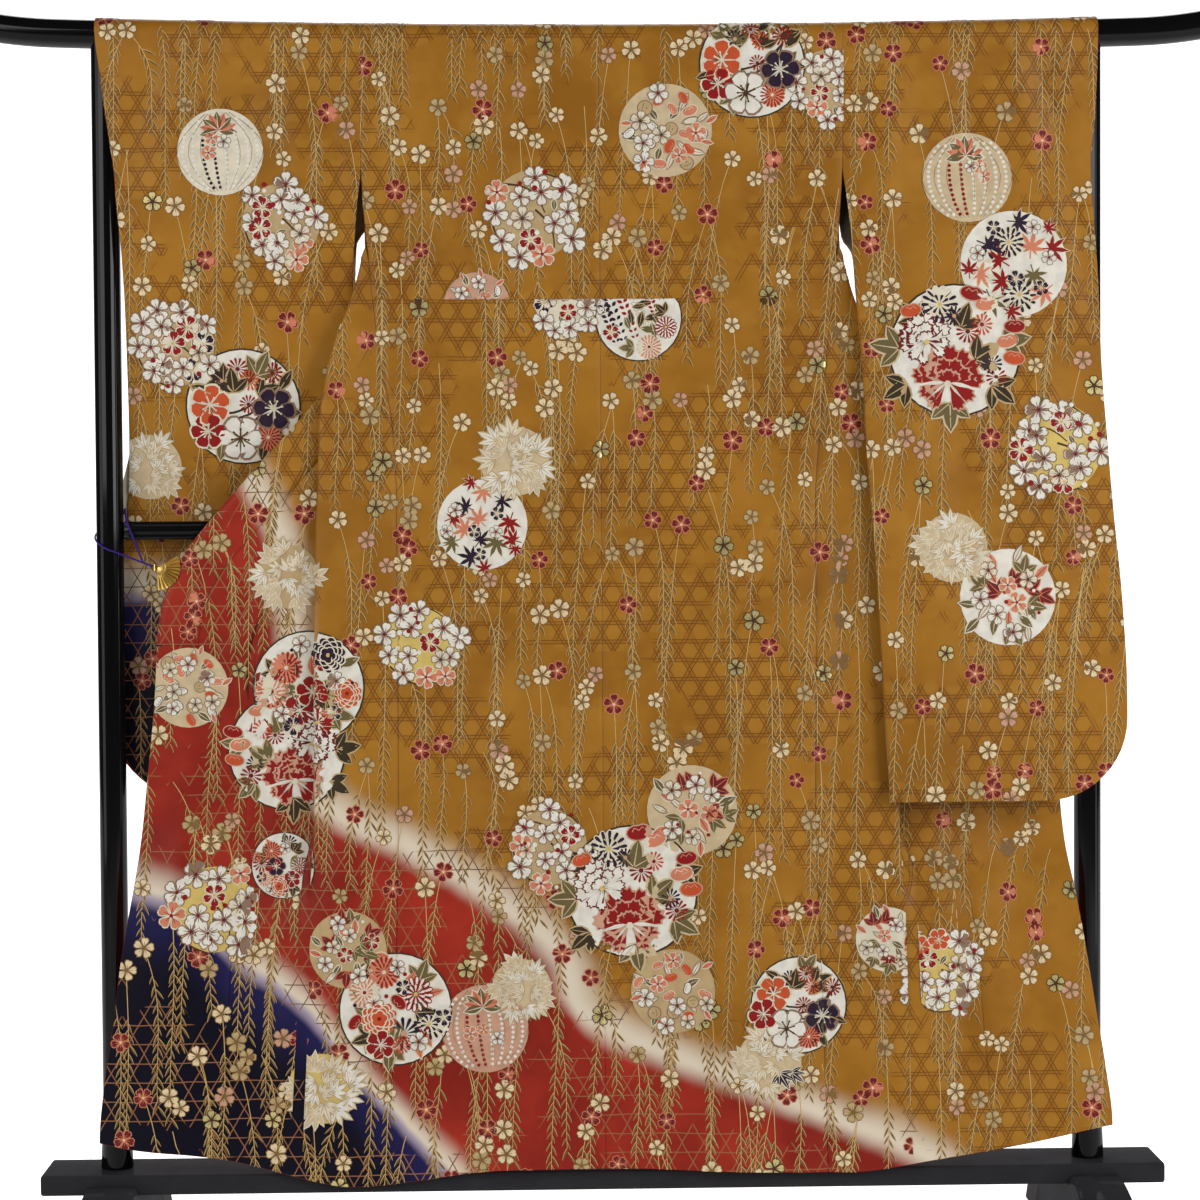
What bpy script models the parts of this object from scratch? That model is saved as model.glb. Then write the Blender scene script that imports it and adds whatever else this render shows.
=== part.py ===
"""A furisode (long-sleeved kimono) hung on its lacquered kimono stand, seen from the garment's back.

Metres, +Z up. The origin is on the floor under the middle of the stand. +X runs along the top bar,
-Y is the side that the garment's back faces. The bar runs through both sleeves: the back lengths and
one half of each sleeve hang over its near side, and the fronts come down its far side, pass forward
under it and are spread left and right beside the back.

Every cloth piece is one wall of even thickness, laid out by rows (heights) and columns (across).
Distances "out" are measured sideways from the middle of the stand, and side is -1 for the left
(-X) and +1 for the right.
"""
import bisect
import math

import bmesh
import bpy
from mathutils import Matrix, Vector

LEFT = -1
RIGHT = 1
SIDE_NAMES = {LEFT: "left", RIGHT: "right"}

# Stand
BAR_RADIUS = 0.019
BAR_HEIGHT = 1.616          # axis of the top bar at its middle
BAR_END = 0.870             # half the bar's length
BAR_BOW = 0.009             # how far the bar has risen where it crosses the posts
TIP_START = 0.720           # from here outwards the bar's ends turn up
TIP_CURVE = 0.75            # rise of the turned-up ends, per metre squared
POST_OUT = 0.655            # post axis
POST_RADIUS = 0.019
COLLAR_RADIUS = 0.026       # flared foot of each post
COLLAR_HEIGHT = 0.030
SADDLE_DEPTH = 0.010        # how far the post's hollowed top reaches up round the bar
RAIL_HEIGHT = 0.967
RAIL_TALL = 0.024
RAIL_DEEP = 0.020
BEAM_TOP = 0.112
BEAM_TALL = 0.027
BEAM_DEEP = 0.095
BEAM_HALF_LENGTH = 0.750
FOOT_HALF_LENGTH = 0.210
FOOT_TOP_WIDE = 0.066
FOOT_FLOOR_WIDE = 0.090
FOOT_HUMP = 0.097           # top of the foot just before and behind the beam
FOOT_TOE = 0.034            # height of the foot's toes
TOE_ROUND = 0.0153          # each toe slants in towards the floor below this height
TOE_SLANT = 0.4             # run of that slant for each metre of height
FOOT_PAD = 0.075            # length of each flat pad on the floor
FOOT_ARCH = 0.030           # height of the hollow between the pads
ARCH_FULLNESS = 0.7         # below 1 the hollow is fuller than a sine
FOOT_STEPS = 8              # straight stretches in each curve of a foot's outline
SADDLE_LENGTH = 0.080       # of the round cutter that hollows a post's top
POST_SIDES = 24
BAR_STEPS = 30              # straight stretches along the top bar
EASED = 0.003               # bevel along the rail's and the beam's edges
TOUCH = 0.0003              # gap between pieces that touch

# Cloth
WALL = 0.002
SEAM = 0.0004               # gap between two cloth pieces where they are sewn together
WRAP_STEPS = 8
WRAP_CLEAR = BAR_RADIUS + TOUCH + WALL / 2   # clear distance of the cloth's middle from the bar's axis
WRAP = WRAP_CLEAR / math.cos(math.pi / 2 / WRAP_STEPS)     # corners of its flats lie a little further out
FOLD_RADIUS = 0.004         # turning radius where a front is folded back on itself
COLLAR_WIDE = 0.055
COLLAR_THICK = 0.003
NECK_OUT = 0.0745           # half the width of the neck
NECK_SAG = 0.004            # how far the middle of the neck stands off the bar
HEM_LEVEL = 0.117           # the hem's height at the centre seam
COLLAR_END = 0.806          # height where each collar stops on the overlap piece
END_STEP = 0.006            # the overlap piece's edge steps out over this height, below the collar's end
COLLAR_START = 1.552        # height where each collar begins, just under the neck piece
OPEN_EDGE = 0.0022          # how far each front's edge stands outside the back's, above the side seam
SHORTEST = 0.003            # shortest stretch of a folded front
TUCK_HEIGHT = 1.272
OPEN_TOP = 1.446            # sleeves are sewn to the body down to here
SIDE_TOP = 1.320            # back and front are sewn together from here down
OKUMI_TOP = 1.360           # point of the overlap piece

SHOULDER_ROWS = (1.600, 1.576, COLLAR_START, 1.510, OPEN_TOP)
BODY_ROWS = (1.400, OKUMI_TOP, 1.340, SIDE_TOP, TUCK_HEIGHT, 1.220, 1.165, 1.110, 1.055, 1.000, 0.945, 0.890,
             0.845, COLLAR_END + END_STEP, COLLAR_END, 0.760, 0.700, 0.640, 0.580, 0.520, 0.460, 0.400,
             0.340, 0.280, 0.225, 0.170, HEM_LEVEL)
SLEEVE_CORNER = 0.110       # radius of each sleeve's rounded bottom corner
SLEEVE_BOTTOM = 0.601
FAR_STEP = 2 / 7            # share of a sleeve's width from which its far half comes up to the near one
SLOPE_REACH = 0.004         # height over which the collar seam's slope is read
CORNER_STEPS = (1.0, 0.72, 0.42, 0.19, 0.06, 0.0)      # share of the corner's radius still below each row
SLEEVE_ROWS = (1.400, 1.360, 1.320, 1.270, 1.210, 1.145, 1.080, 1.010, 0.940, 0.870, 0.790)

# Side edge of the body, out from the middle
BODY_SIDE = (
    # height, left, right
    (1.616, 0.3166, 0.3247),
    (1.446, 0.3150, 0.3230),
    (1.307, 0.3046, 0.3126),
    (1.200, 0.2930, 0.3010),
    (1.110, 0.2770, 0.2930),
    (1.000, 0.2715, 0.2850),
    (0.800, 0.2715, 0.2850),
    (0.600, 0.2720, 0.2830),
    (0.350, 0.2780, 0.2900),
    (0.100, 0.2890, 0.2960),
)

# Depth of the back, and of the fronts' inner layer above the side seam
BODY_DEPTH = (
    # height, back, front
    (1.600, -0.0207, 0.0207),
    (1.560, -0.0218, 0.0207),
    (1.510, -0.0240, 0.0200),
    (1.446, -0.0265, 0.0175),
    (1.400, -0.0280, 0.0040),
    (1.360, -0.0290, -0.0110),
    (1.320, -0.0300, -0.0220),
    (1.200, -0.0315, -0.0235),
    (0.970, -0.0350, -0.0270),
    (0.600, -0.0420, -0.0340),
    (0.300, -0.0540, -0.0460),
    (0.100, -0.0630, -0.0550),
)

# How each front is folded: the stretch beside the side seam, how far out the hidden inner fold lies, and
# which way the three stretches run, from 0 (outwards) to 1 (back towards the middle)
FRONT_FOLD = (
    # height, first stretch, inner fold out, first way, second way, third way
    (1.616, 0.004, 0.106, 1.00, 1.0, 1.0),
    (1.600, 0.004, 0.105, 1.00, 1.0, 1.0),
    (1.576, 0.004, 0.098, 1.00, 1.0, 0.5),
    (1.552, 0.004, 0.090, 1.00, 1.0, 0.0),
    (1.510, 0.004, 0.082, 1.00, 1.0, 0.0),
    (1.446, 0.004, 0.097, 1.00, 1.0, 0.0),
    (1.400, 0.004, 0.110, 1.00, 1.0, 0.0),
    (1.360, 0.004, 0.124, 0.85, 1.0, 0.0),
    (1.340, 0.005, 0.131, 0.50, 1.0, 0.0),
    (1.320, 0.006, 0.138, 0.00, 1.0, 0.0),
    (1.272, 0.024, 0.165, 0.00, 1.0, 0.0),
    (1.220, 0.050, 0.195, 0.00, 1.0, 0.0),
    (1.165, 0.073, 0.222, 0.00, 1.0, 0.0),
    (1.110, 0.091, 0.248, 0.00, 1.0, 0.0),
    (1.000, 0.101, 0.292, 0.00, 1.0, 0.0),
    (0.890, 0.104, 0.325, 0.00, 1.0, 0.0),
    (0.760, 0.106, 0.355, 0.00, 1.0, 0.0),
    (0.640, 0.106, 0.368, 0.00, 0.9, 0.0),
    (0.520, 0.104, 0.380, 0.00, 0.4, 0.0),
    (0.430, 0.102, 0.400, 0.00, 0.0, 0.0),
    (0.100, 0.100, 0.400, 0.00, 0.0, 0.0),
)

# Where the collar is sewn to the front and overlap piece, out from the middle
COLLAR_SEAM = (
    # height, out
    (1.616, 0.0980),
    (1.576, 0.0980),
    (1.552, 0.0960),
    (1.510, 0.0930),
    (1.446, 0.1090),
    (1.400, 0.1340),
    (1.300, 0.2000),
    (1.117, 0.3255),
    (1.027, 0.4040),
    (0.960, 0.4640),
    (0.910, 0.5050),
    (0.865, 0.5270),
    (0.806, 0.5370),
)

# Free edge of the overlap piece, below the collar
FREE_EDGE = (
    # height, left, right
    (0.812, 0.5920, 0.5920),
    (0.725, 0.5960, 0.5980),
    (0.620, 0.6070, 0.6130),
    (0.480, 0.6220, 0.6260),
    (0.370, 0.6390, 0.6420),
    (0.270, 0.6510, 0.6560),
    (0.200, 0.6610, 0.6660),
    (0.117, 0.6680, 0.6750),
)

# Width of the overlap piece between its seam and its other edge
OKUMI_WIDTH = (
    # height, width
    (1.360, 0.006),
    (1.200, 0.030),
    (1.000, 0.054),
    (0.870, 0.078),
    (0.812, 0.082),
    (0.806, 0.130),
    (0.600, 0.134),
    (0.380, 0.143),
    (0.100, 0.158),
)

# The hem: how far it lies above or below its level at the centre seam
HEM_LINE = (
    # across, drop
    (-0.700, 0.046),
    (-0.628, 0.034),
    (-0.518, 0.020),
    (-0.446, 0.003),
    (-0.379, -0.013),
    (-0.318, -0.019),
    (-0.242, -0.013),
    (-0.166, -0.003),
    (-0.088, 0.001),
    (0.000, 0.000),
    (0.126, -0.004),
    (0.320, -0.009),
    (0.437, 0.007),
    (0.560, 0.026),
    (0.700, 0.053),
)

# Sleeves, out from the middle and in depth; the near half faces -Y and the far half lies behind it
SLEEVE_LEFT = (
    # height, inner edge, near outer edge, far outer edge, near depth, far depth inside, far depth outside
    (1.616, 0.3166, 0.6650, 0.6650, -0.0207, 0.0207, 0.0209),
    (1.560, 0.3162, 0.6580, 0.6600, -0.0218, 0.0207, 0.0212),
    (1.510, 0.3158, 0.6510, 0.6450, -0.0240, 0.0200, 0.0212),
    (1.446, 0.3155, 0.6410, 0.6330, -0.0265, 0.0175, 0.0200),
    (1.400, 0.3190, 0.6380, 0.6325, -0.0262, 0.0220, 0.0040),
    (1.360, 0.3210, 0.6340, 0.6325, -0.0240, 0.0255, -0.0100),
    (1.320, 0.3225, 0.6320, 0.6315, -0.0190, 0.0265, -0.0130),
    (1.270, 0.3245, 0.6305, 0.6305, -0.0110, 0.0275, -0.0083),
    (1.210, 0.3260, 0.6300, 0.6300, -0.0020, 0.0285, 0.0007),
    (1.145, 0.3270, 0.6300, 0.6300, 0.0080, 0.0295, 0.0107),
    (1.080, 0.3280, 0.6305, 0.6305, 0.0160, 0.0305, 0.0187),
    (1.010, 0.3290, 0.6330, 0.6330, 0.0220, 0.0315, 0.0248),
    (0.940, 0.3300, 0.6400, 0.6400, 0.0240, 0.0320, 0.0267),
    (0.790, 0.3310, 0.6500, 0.6500, 0.0245, 0.0320, 0.0271),
    (0.601, 0.3330, 0.6530, 0.6530, 0.0245, 0.0271, 0.0271),
)
SLEEVE_RIGHT = (
    # height, inner edge, near outer edge, far outer edge, near depth, far depth inside, far depth outside
    (1.616, 0.3247, 0.6660, 0.6650, -0.0207, 0.0207, 0.0209),
    (1.560, 0.3243, 0.6640, 0.6600, -0.0218, 0.0207, 0.0212),
    (1.510, 0.3239, 0.6610, 0.6450, -0.0240, 0.0200, 0.0212),
    (1.446, 0.3236, 0.6550, 0.6330, -0.0265, 0.0175, 0.0200),
    (1.400, 0.3290, 0.6555, 0.6325, -0.0330, -0.0020, -0.0080),
    (1.360, 0.3330, 0.6570, 0.6400, -0.0380, -0.0200, -0.0240),
    (1.320, 0.3360, 0.6590, 0.6540, -0.0430, -0.0330, -0.0370),
    (1.270, 0.3390, 0.6610, 0.6605, -0.0475, -0.0395, -0.0448),
    (1.180, 0.3470, 0.6640, 0.6640, -0.0490, -0.0410, -0.0463),
    (1.080, 0.3510, 0.6715, 0.6715, -0.0505, -0.0425, -0.0478),
    (0.980, 0.3590, 0.6800, 0.6800, -0.0515, -0.0435, -0.0488),
    (0.890, 0.3650, 0.6890, 0.6890, -0.0530, -0.0450, -0.0503),
    (0.780, 0.3710, 0.6960, 0.6960, -0.0550, -0.0470, -0.0523),
    (0.700, 0.3750, 0.6970, 0.6970, -0.0565, -0.0490, -0.0538),
    (0.601, 0.3800, 0.6970, 0.6970, -0.0585, -0.0558, -0.0558),
)

# Soft hanging folds of the lower body and the sleeves in front of the stand
SOFT_FOLDS = (
    # across at the shoulder, across at the hem, half width, depth, starts at, full at
    (-0.500, -0.600, 0.045, -0.006, 0.850, 0.350),
    (-0.400, -0.470, 0.040, 0.006, 0.800, 0.300),
    (-0.330, -0.345, 0.034, -0.008, 0.900, 0.250),
    (-0.200, -0.215, 0.050, 0.005, 1.100, 0.300),
    (-0.080, -0.090, 0.045, -0.005, 1.000, 0.250),
    (0.040, 0.050, 0.050, 0.004, 0.900, 0.250),
    (0.180, 0.170, 0.045, -0.005, 1.150, 0.300),
    (0.318, 0.300, 0.022, 0.004, 1.150, 0.900),
    (0.430, 0.420, 0.050, -0.004, 1.300, 0.700),
    (0.560, 0.570, 0.045, 0.003, 1.200, 0.700),
    (0.640, 0.640, 0.040, -0.005, 0.700, 0.200),
)

# Clip and cord that hold the spread left front
CLIP_PIVOT_OUT = 0.589
CLIP_PIVOT_HEIGHT = 0.918
CLIP_RADIUS = 0.030
CLIP_THICK = 0.0016
CLIP_SPREAD = math.radians(130)
CLIP_MIDDLE = math.radians(-30)     # the fan's middle blade points down and in
CLIP_BLADES = 13
CLIP_PLEAT = 0.0005                 # every other blade edge stands out by this much
CLIP_ROOT = (0.004, 0.003)          # the fan reaches this far past its pivot, and is twice this tall there
CLIP_JAW = (0.020, 0.0050)          # length and height of the jaw behind the collar
CLIP_BRIDGE = (0.0030, 0.0056)      # width and height of the piece that joins fan and jaw
CORD_TURNS = 14                     # straight stretches in the cord's loop round the post
CORD_WOUND = math.radians(320)
CORD_DROP = 0.006                   # the loop starts this much lower than it ends
CORD_MEETS_POST = math.radians(-70)
CORD_START = (0.0056, 0.001)        # the cord starts this far out from the pivot, and above it
CORD_RADIUS = 0.0013
CORD_TURN_HEIGHT = 0.954            # height of the cord's loop round the post


def along(table, key, column):
    """A table's column at a value of its first column, on a smooth curve through its rows."""
    rows = sorted(table)
    keys = [row[0] for row in rows]
    if key <= keys[0]:
        return rows[0][column]
    if key >= keys[-1]:
        return rows[-1][column]
    here = bisect.bisect_right(keys, key) - 1
    start, end = rows[here], rows[here + 1]
    span = end[0] - start[0]
    share = (key - start[0]) / span
    rise = end[column] - start[column]

    def slope(index):
        low, high = rows[max(index - 1, 0)], rows[min(index + 1, len(rows) - 1)]
        before = rows[index][column] - low[column]
        after = high[column] - rows[index][column]
        if before * after <= 0:
            return 0.0
        return (high[column] - low[column]) / (high[0] - low[0]) * span

    limit = 2.5 * abs(rise)
    start_slope = max(-limit, min(limit, slope(here)))
    end_slope = max(-limit, min(limit, slope(here + 1)))
    square, cube = share * share, share ** 3
    return (start[column] * (2 * cube - 3 * square + 1) + start_slope * (cube - 2 * square + share)
            + end[column] * (3 * square - 2 * cube) + end_slope * (cube - square))


def mix(start, end, share):
    return start + (end - start) * share


def ease(share):
    """0 to 1 with soft ends."""
    share = max(0.0, min(1.0, share))
    return share * share * (3 - 2 * share)


def side_column(side):
    return 1 if side == LEFT else 2


def bar_height(across):
    """Height of the top bar's axis: a shallow bow, and ends that turn up."""
    rise = BAR_BOW * (across / POST_OUT) ** 2
    return BAR_HEIGHT + rise + TIP_CURVE * max(0.0, abs(across) - TIP_START) ** 2


def soft_fold(across, height):
    """Depth that the soft folds add."""
    total = 0.0
    for top, bottom, half_width, depth, start, full in SOFT_FOLDS:
        centre = mix(top, bottom, (BAR_HEIGHT - height) / (BAR_HEIGHT - HEM_LEVEL))
        fade = ease((start - height) / (start - full))
        total += depth * fade * math.exp(-((across - centre) / half_width) ** 2)
    return total


def hung_rise(across, level):
    """How far the bar's bow lifts a row that lies close under it."""
    return (bar_height(across) - BAR_HEIGHT) * ease((level - OPEN_TOP) / (BAR_HEIGHT - OPEN_TOP))


def body_height(across, level):
    """True height of a row: the lowest rows follow the hem's line."""
    share = ease((0.9 - level) / (0.9 - HEM_LEVEL))
    return level + along(HEM_LINE, across, 1) * share


# Objects, materials and meshes

def new_collection(name):
    collection = bpy.data.collections.new(name)
    bpy.context.scene.collection.children.link(collection)
    return collection


def new_material(name, colour, roughness, metallic=0.0):
    material = bpy.data.materials.new(name)
    material.use_nodes = True
    shader = material.node_tree.nodes["Principled BSDF"]
    shader.inputs["Base Color"].default_value = (*colour, 1.0)
    shader.inputs["Roughness"].default_value = roughness
    shader.inputs["Metallic"].default_value = metallic
    return material


def add_object(name, data, material, collection):
    built = bpy.data.objects.new(name, data)
    built.data.materials.append(material)
    collection.objects.link(built)
    return built


def add_mesh(name, shape, material, collection, smooth=True):
    """Turn a bmesh into an object whose sharp edges stay sharp."""
    bmesh.ops.recalc_face_normals(shape, faces=shape.faces)
    mesh = bpy.data.meshes.new(name)
    shape.to_mesh(mesh)
    shape.free()
    if smooth:
        mesh.shade_smooth()
        mesh.set_sharp_from_angle(angle=math.radians(35))
    return add_object(name, mesh, material, collection)


def cloth(name, place, columns, rows, material, collection, wall=WALL):
    """A wall of cloth: a grid whose point in column i and row j is placed by place(i, j)."""
    shape = bmesh.new()
    bmesh.ops.create_grid(shape, x_segments=columns, y_segments=rows, size=0.5)
    for vert in shape.verts:
        column = round((vert.co.x + 0.5) * columns)
        row = round((0.5 - vert.co.y) * rows)
        vert.co = place(column, row)
    mesh = bpy.data.meshes.new(name)
    shape.to_mesh(mesh)
    shape.free()
    mesh.shade_smooth()
    piece = add_object(name, mesh, material, collection)
    thick = piece.modifiers.new("wall", 'SOLIDIFY')
    thick.thickness = wall
    thick.offset = 0.0
    thick.use_even_offset = True
    return piece


def box_shape(size, centre, bevel=0.0, segments=2):
    shape = bmesh.new()
    bmesh.ops.create_cube(shape, size=1.0)
    bmesh.ops.scale(shape, vec=size, verts=shape.verts)
    bmesh.ops.translate(shape, vec=centre, verts=shape.verts)
    if bevel:
        bmesh.ops.bevel(shape, geom=list(shape.edges), offset=bevel, segments=segments, profile=0.5,
                        affect='EDGES')
    return shape


def tube(name, points, radius, material, collection, resolution=6):
    """A round bar or cord through points, with filled ends."""
    curve = bpy.data.curves.new(name, 'CURVE')
    curve.dimensions = '3D'
    spline = curve.splines.new('POLY')
    spline.points.add(len(points) - 1)
    for point, place in zip(spline.points, points):
        point.co = (*place, 1.0)
    curve.bevel_depth = radius
    curve.bevel_resolution = resolution
    curve.use_fill_caps = True
    return add_object(name, curve, material, collection)


# Stand

def make_top_bar(material, collection):
    places = [mix(-BAR_END, BAR_END, step / BAR_STEPS) for step in range(BAR_STEPS + 1)]
    return tube("top_bar", [(x, 0.0, bar_height(x)) for x in places], BAR_RADIUS, material, collection)


def make_post(side, material, collection, cutters):
    """A turned post with a flared foot, hollowed at the top to carry the bar."""
    bottom = BEAM_TOP + TOUCH
    top = bar_height(POST_OUT) - SADDLE_DEPTH
    profile = (
        (POST_RADIUS, top),
        (POST_RADIUS, bottom + COLLAR_HEIGHT),
        (mix(POST_RADIUS, COLLAR_RADIUS, 0.25), bottom + COLLAR_HEIGHT * 0.75),
        (COLLAR_RADIUS, bottom + COLLAR_HEIGHT * 0.35),
        (COLLAR_RADIUS, bottom),
    )
    shape = bmesh.new()
    verts = [shape.verts.new((0.0, 0.0, top))]
    verts += [shape.verts.new((radius, 0.0, height)) for radius, height in profile]
    verts.append(shape.verts.new((0.0, 0.0, bottom)))
    for first, second in zip(verts, verts[1:]):
        shape.edges.new((first, second))
    mesh = bpy.data.meshes.new("post_profile")
    shape.to_mesh(mesh)
    shape.free()
    post = add_object(f"post_{SIDE_NAMES[side]}", mesh, material, collection)
    post.location = (side * POST_OUT, 0.0, 0.0)
    turned = post.modifiers.new("turned", 'SCREW')
    turned.steps = POST_SIDES
    turned.render_steps = POST_SIDES
    turned.use_merge_vertices = True
    turned.merge_threshold = 0.00005
    saddle_shape = bmesh.new()
    hollow = BAR_RADIUS + TOUCH
    bmesh.ops.create_cone(saddle_shape, cap_ends=True, segments=32, radius1=hollow, radius2=hollow,
                          depth=SADDLE_LENGTH)
    bmesh.ops.rotate(saddle_shape, matrix=Matrix.Rotation(math.pi / 2, 3, 'Y'), verts=saddle_shape.verts)
    slope = math.atan(side * 2 * BAR_BOW / POST_OUT)
    bmesh.ops.rotate(saddle_shape, matrix=Matrix.Rotation(-slope, 3, 'Y'), verts=saddle_shape.verts)
    saddle = add_mesh(f"saddle_{SIDE_NAMES[side]}", saddle_shape, material, cutters)
    saddle.location = (side * POST_OUT, 0.0, bar_height(POST_OUT))
    saddle.hide_render = True
    saddle.display_type = 'WIRE'
    cut = post.modifiers.new("saddle", 'BOOLEAN')
    cut.object = saddle
    cut.operation = 'DIFFERENCE'
    return post


def make_rail(material, collection):
    length = 2 * (POST_OUT - POST_RADIUS - TOUCH)
    shape = box_shape((length, RAIL_DEEP, RAIL_TALL), (0.0, 0.0, RAIL_HEIGHT), bevel=EASED)
    return add_mesh("middle_rail", shape, material, collection)


def make_beam(material, collection):
    size = (2 * BEAM_HALF_LENGTH, BEAM_DEEP, BEAM_TALL)
    shape = box_shape(size, (0.0, 0.0, BEAM_TOP - BEAM_TALL / 2), bevel=EASED)
    return add_mesh("base_beam", shape, material, collection)


def foot_outline():
    """Side outline of a foot, (along Y, height), from the near toe over the top and back below."""
    notch = BEAM_DEEP / 2 + TOUCH
    under_beam = BEAM_TOP - BEAM_TALL - TOUCH
    toe_steps = FOOT_STEPS // 2
    far = []
    for step in range(toe_steps):
        height = TOE_ROUND * math.sin(math.pi / 2 * step / toe_steps)
        far.append((FOOT_HALF_LENGTH - TOE_SLANT * (TOE_ROUND - height), height))
    for step in range(FOOT_STEPS + 1):
        share = step / FOOT_STEPS
        height = mix(FOOT_TOE, FOOT_HUMP, math.sin(share * math.pi / 2))
        far.append((mix(FOOT_HALF_LENGTH, notch, share), height))
    near = [(-place, height) for place, height in reversed(far)]
    arch_half = FOOT_HALF_LENGTH - FOOT_PAD
    arch = [(arch_half, 0.0)]
    for step in range(1, FOOT_STEPS):
        angle = math.pi * step / FOOT_STEPS
        arch.append((arch_half * math.cos(angle), FOOT_ARCH * math.sin(angle) ** ARCH_FULLNESS))
    arch.append((-arch_half, 0.0))
    return far + [(notch, under_beam), (-notch, under_beam)] + near + list(reversed(arch))


def make_foot(side, material, collection):
    """An arched runner across the beam, wider at the floor than on top."""
    outline = foot_outline()
    shape = bmesh.new()
    near = []
    far = []
    for place, height in outline:
        half_wide = mix(FOOT_FLOOR_WIDE, FOOT_TOP_WIDE, height / FOOT_HUMP) / 2
        near.append(shape.verts.new((side * POST_OUT - half_wide, place, height)))
        far.append(shape.verts.new((side * POST_OUT + half_wide, place, height)))
    shape.faces.new(near)
    shape.faces.new(list(reversed(far)))
    count = len(outline)
    for index in range(count):
        after = (index + 1) % count
        shape.faces.new((near[index], far[index], far[after], near[after]))
    return add_mesh(f"foot_{SIDE_NAMES[side]}", shape, material, collection)


# Garment

def wrap_point(across, step):
    """A point of the cloth round the bar: step 0 is the far side, WRAP_STEPS the near side."""
    turn = math.pi * step / WRAP_STEPS
    return Vector((across, WRAP * math.cos(turn), bar_height(across) + WRAP * math.sin(turn)))


def make_back(side, material, collection):
    """One back length: over the bar from its far side, and down to the hem."""
    columns = 8
    drops = SHOULDER_ROWS + BODY_ROWS
    rows = WRAP_STEPS + len(drops)

    def place(column, row):
        level = BAR_HEIGHT if row <= WRAP_STEPS else drops[row - WRAP_STEPS - 1]
        edge = along(BODY_SIDE, level, side_column(side)) - SEAM / 2
        across = side * mix(SEAM / 2, edge, column / columns)
        if row <= WRAP_STEPS:
            return wrap_point(across, row)
        depth = along(BODY_DEPTH, level, 1) + soft_fold(across, level)
        return Vector((across, depth, body_height(across, level) + hung_rise(across, level)))

    return cloth(f"back_{SIDE_NAMES[side]}", place, columns, rows, material, collection)


FIRST_COLUMNS = 3
TURN_COLUMNS = 3
SECOND_COLUMNS = 3
THIRD_COLUMNS = 3
OKUMI_COLUMNS = 3


def collar_seam_out(level):
    return along(COLLAR_SEAM, level, 1)


def front_section(side, level):
    """Points (out, depth) across a front and its overlap piece at one level, from the side seam to the
    free edge. The section is walked in short steps whose heading turns through the two folds."""
    first, inner_fold = along(FRONT_FOLD, level, 1), along(FRONT_FOLD, level, 2)
    way_first, way_second, way_third = [along(FRONT_FOLD, level, column) * math.pi for column in (3, 4, 5)]
    turn_length = math.pi * FOLD_RADIUS
    if level <= SIDE_TOP:
        beside = SEAM / 2
    else:
        beside = OPEN_EDGE if level < OPEN_TOP - SEAM else -SEAM / 2
    points = [(along(BODY_SIDE, level, side_column(side)) + beside, 0.0)]

    def walk(length, start_way, end_way, steps):
        out, depth = points[-1]
        for step in range(steps):
            way = mix(start_way, end_way, (step + 0.5) / steps)
            out += length / steps * math.cos(way)
            depth += length / steps * math.sin(way)
            points.append((out, depth))

    walk(first, way_first, way_first, FIRST_COLUMNS)
    walk(turn_length, way_first, way_second, TURN_COLUMNS)
    walk(max(SHORTEST, points[-1][0] - inner_fold), way_second, way_second, SECOND_COLUMNS)
    walk(turn_length, way_second, way_third, TURN_COLUMNS)
    second_depth = points[FIRST_COLUMNS + TURN_COLUMNS][1]
    if level > COLLAR_END:
        edge = collar_seam_out(level) - SEAM
    else:
        edge = along(FREE_EDGE, level, side_column(side))
    okumi = along(OKUMI_WIDTH, level, 1) if level <= OKUMI_TOP else 0.0
    walk(max(SHORTEST, edge - points[-1][0] - okumi), way_third, way_third, THIRD_COLUMNS)
    seam_out, depth = points[-1]
    for step in range(OKUMI_COLUMNS):
        points.append((mix(seam_out + SEAM, edge, (step + 1) / OKUMI_COLUMNS), depth))
    if level > SIDE_TOP:
        shift = along(BODY_DEPTH, level, 2) - second_depth
    else:
        shift = along(BODY_DEPTH, level, 1)
    return [(place, layer + shift) for place, layer in points]


def front_point(side, level, out, depth):
    across = side * out
    height = body_height(across, level) + hung_rise(across, level)
    return Vector((across, depth + soft_fold(across, level), height))


def make_front(side, material, collection):
    """One front length, from the bar's far side down, folded in a Z and spread outwards. Its part behind
    the bar, down to where the sleeve ends, is a piece of its own, so that collision leaves the body open."""
    columns = FIRST_COLUMNS + SECOND_COLUMNS + THIRD_COLUMNS + 2 * TURN_COLUMNS
    stretches = (("front_shoulder", (BAR_HEIGHT - SEAM,) + SHOULDER_ROWS),
                 ("front", (OPEN_TOP - SEAM,) + BODY_ROWS))
    for name, levels in stretches:
        sections = [front_section(side, level) for level in levels]

        def place(column, row):
            return front_point(side, levels[row], *sections[row][column])

        cloth(f"{name}_{SIDE_NAMES[side]}", place, columns, len(levels) - 1, material, collection)


def make_okumi(side, material, collection):
    """The overlap piece, sewn to the front's outer edge below the collar's upper part."""
    levels = tuple(level for level in BODY_ROWS if level <= OKUMI_TOP)
    sections = [front_section(side, level) for level in levels]
    first = FIRST_COLUMNS + SECOND_COLUMNS + THIRD_COLUMNS + 2 * TURN_COLUMNS

    def place(column, row):
        out, depth = sections[row][first + column]
        if column == 0:
            out += SEAM
        return front_point(side, levels[row], out, depth)

    return cloth(f"okumi_{SIDE_NAMES[side]}", place, OKUMI_COLUMNS, len(levels) - 1, material, collection)


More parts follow.
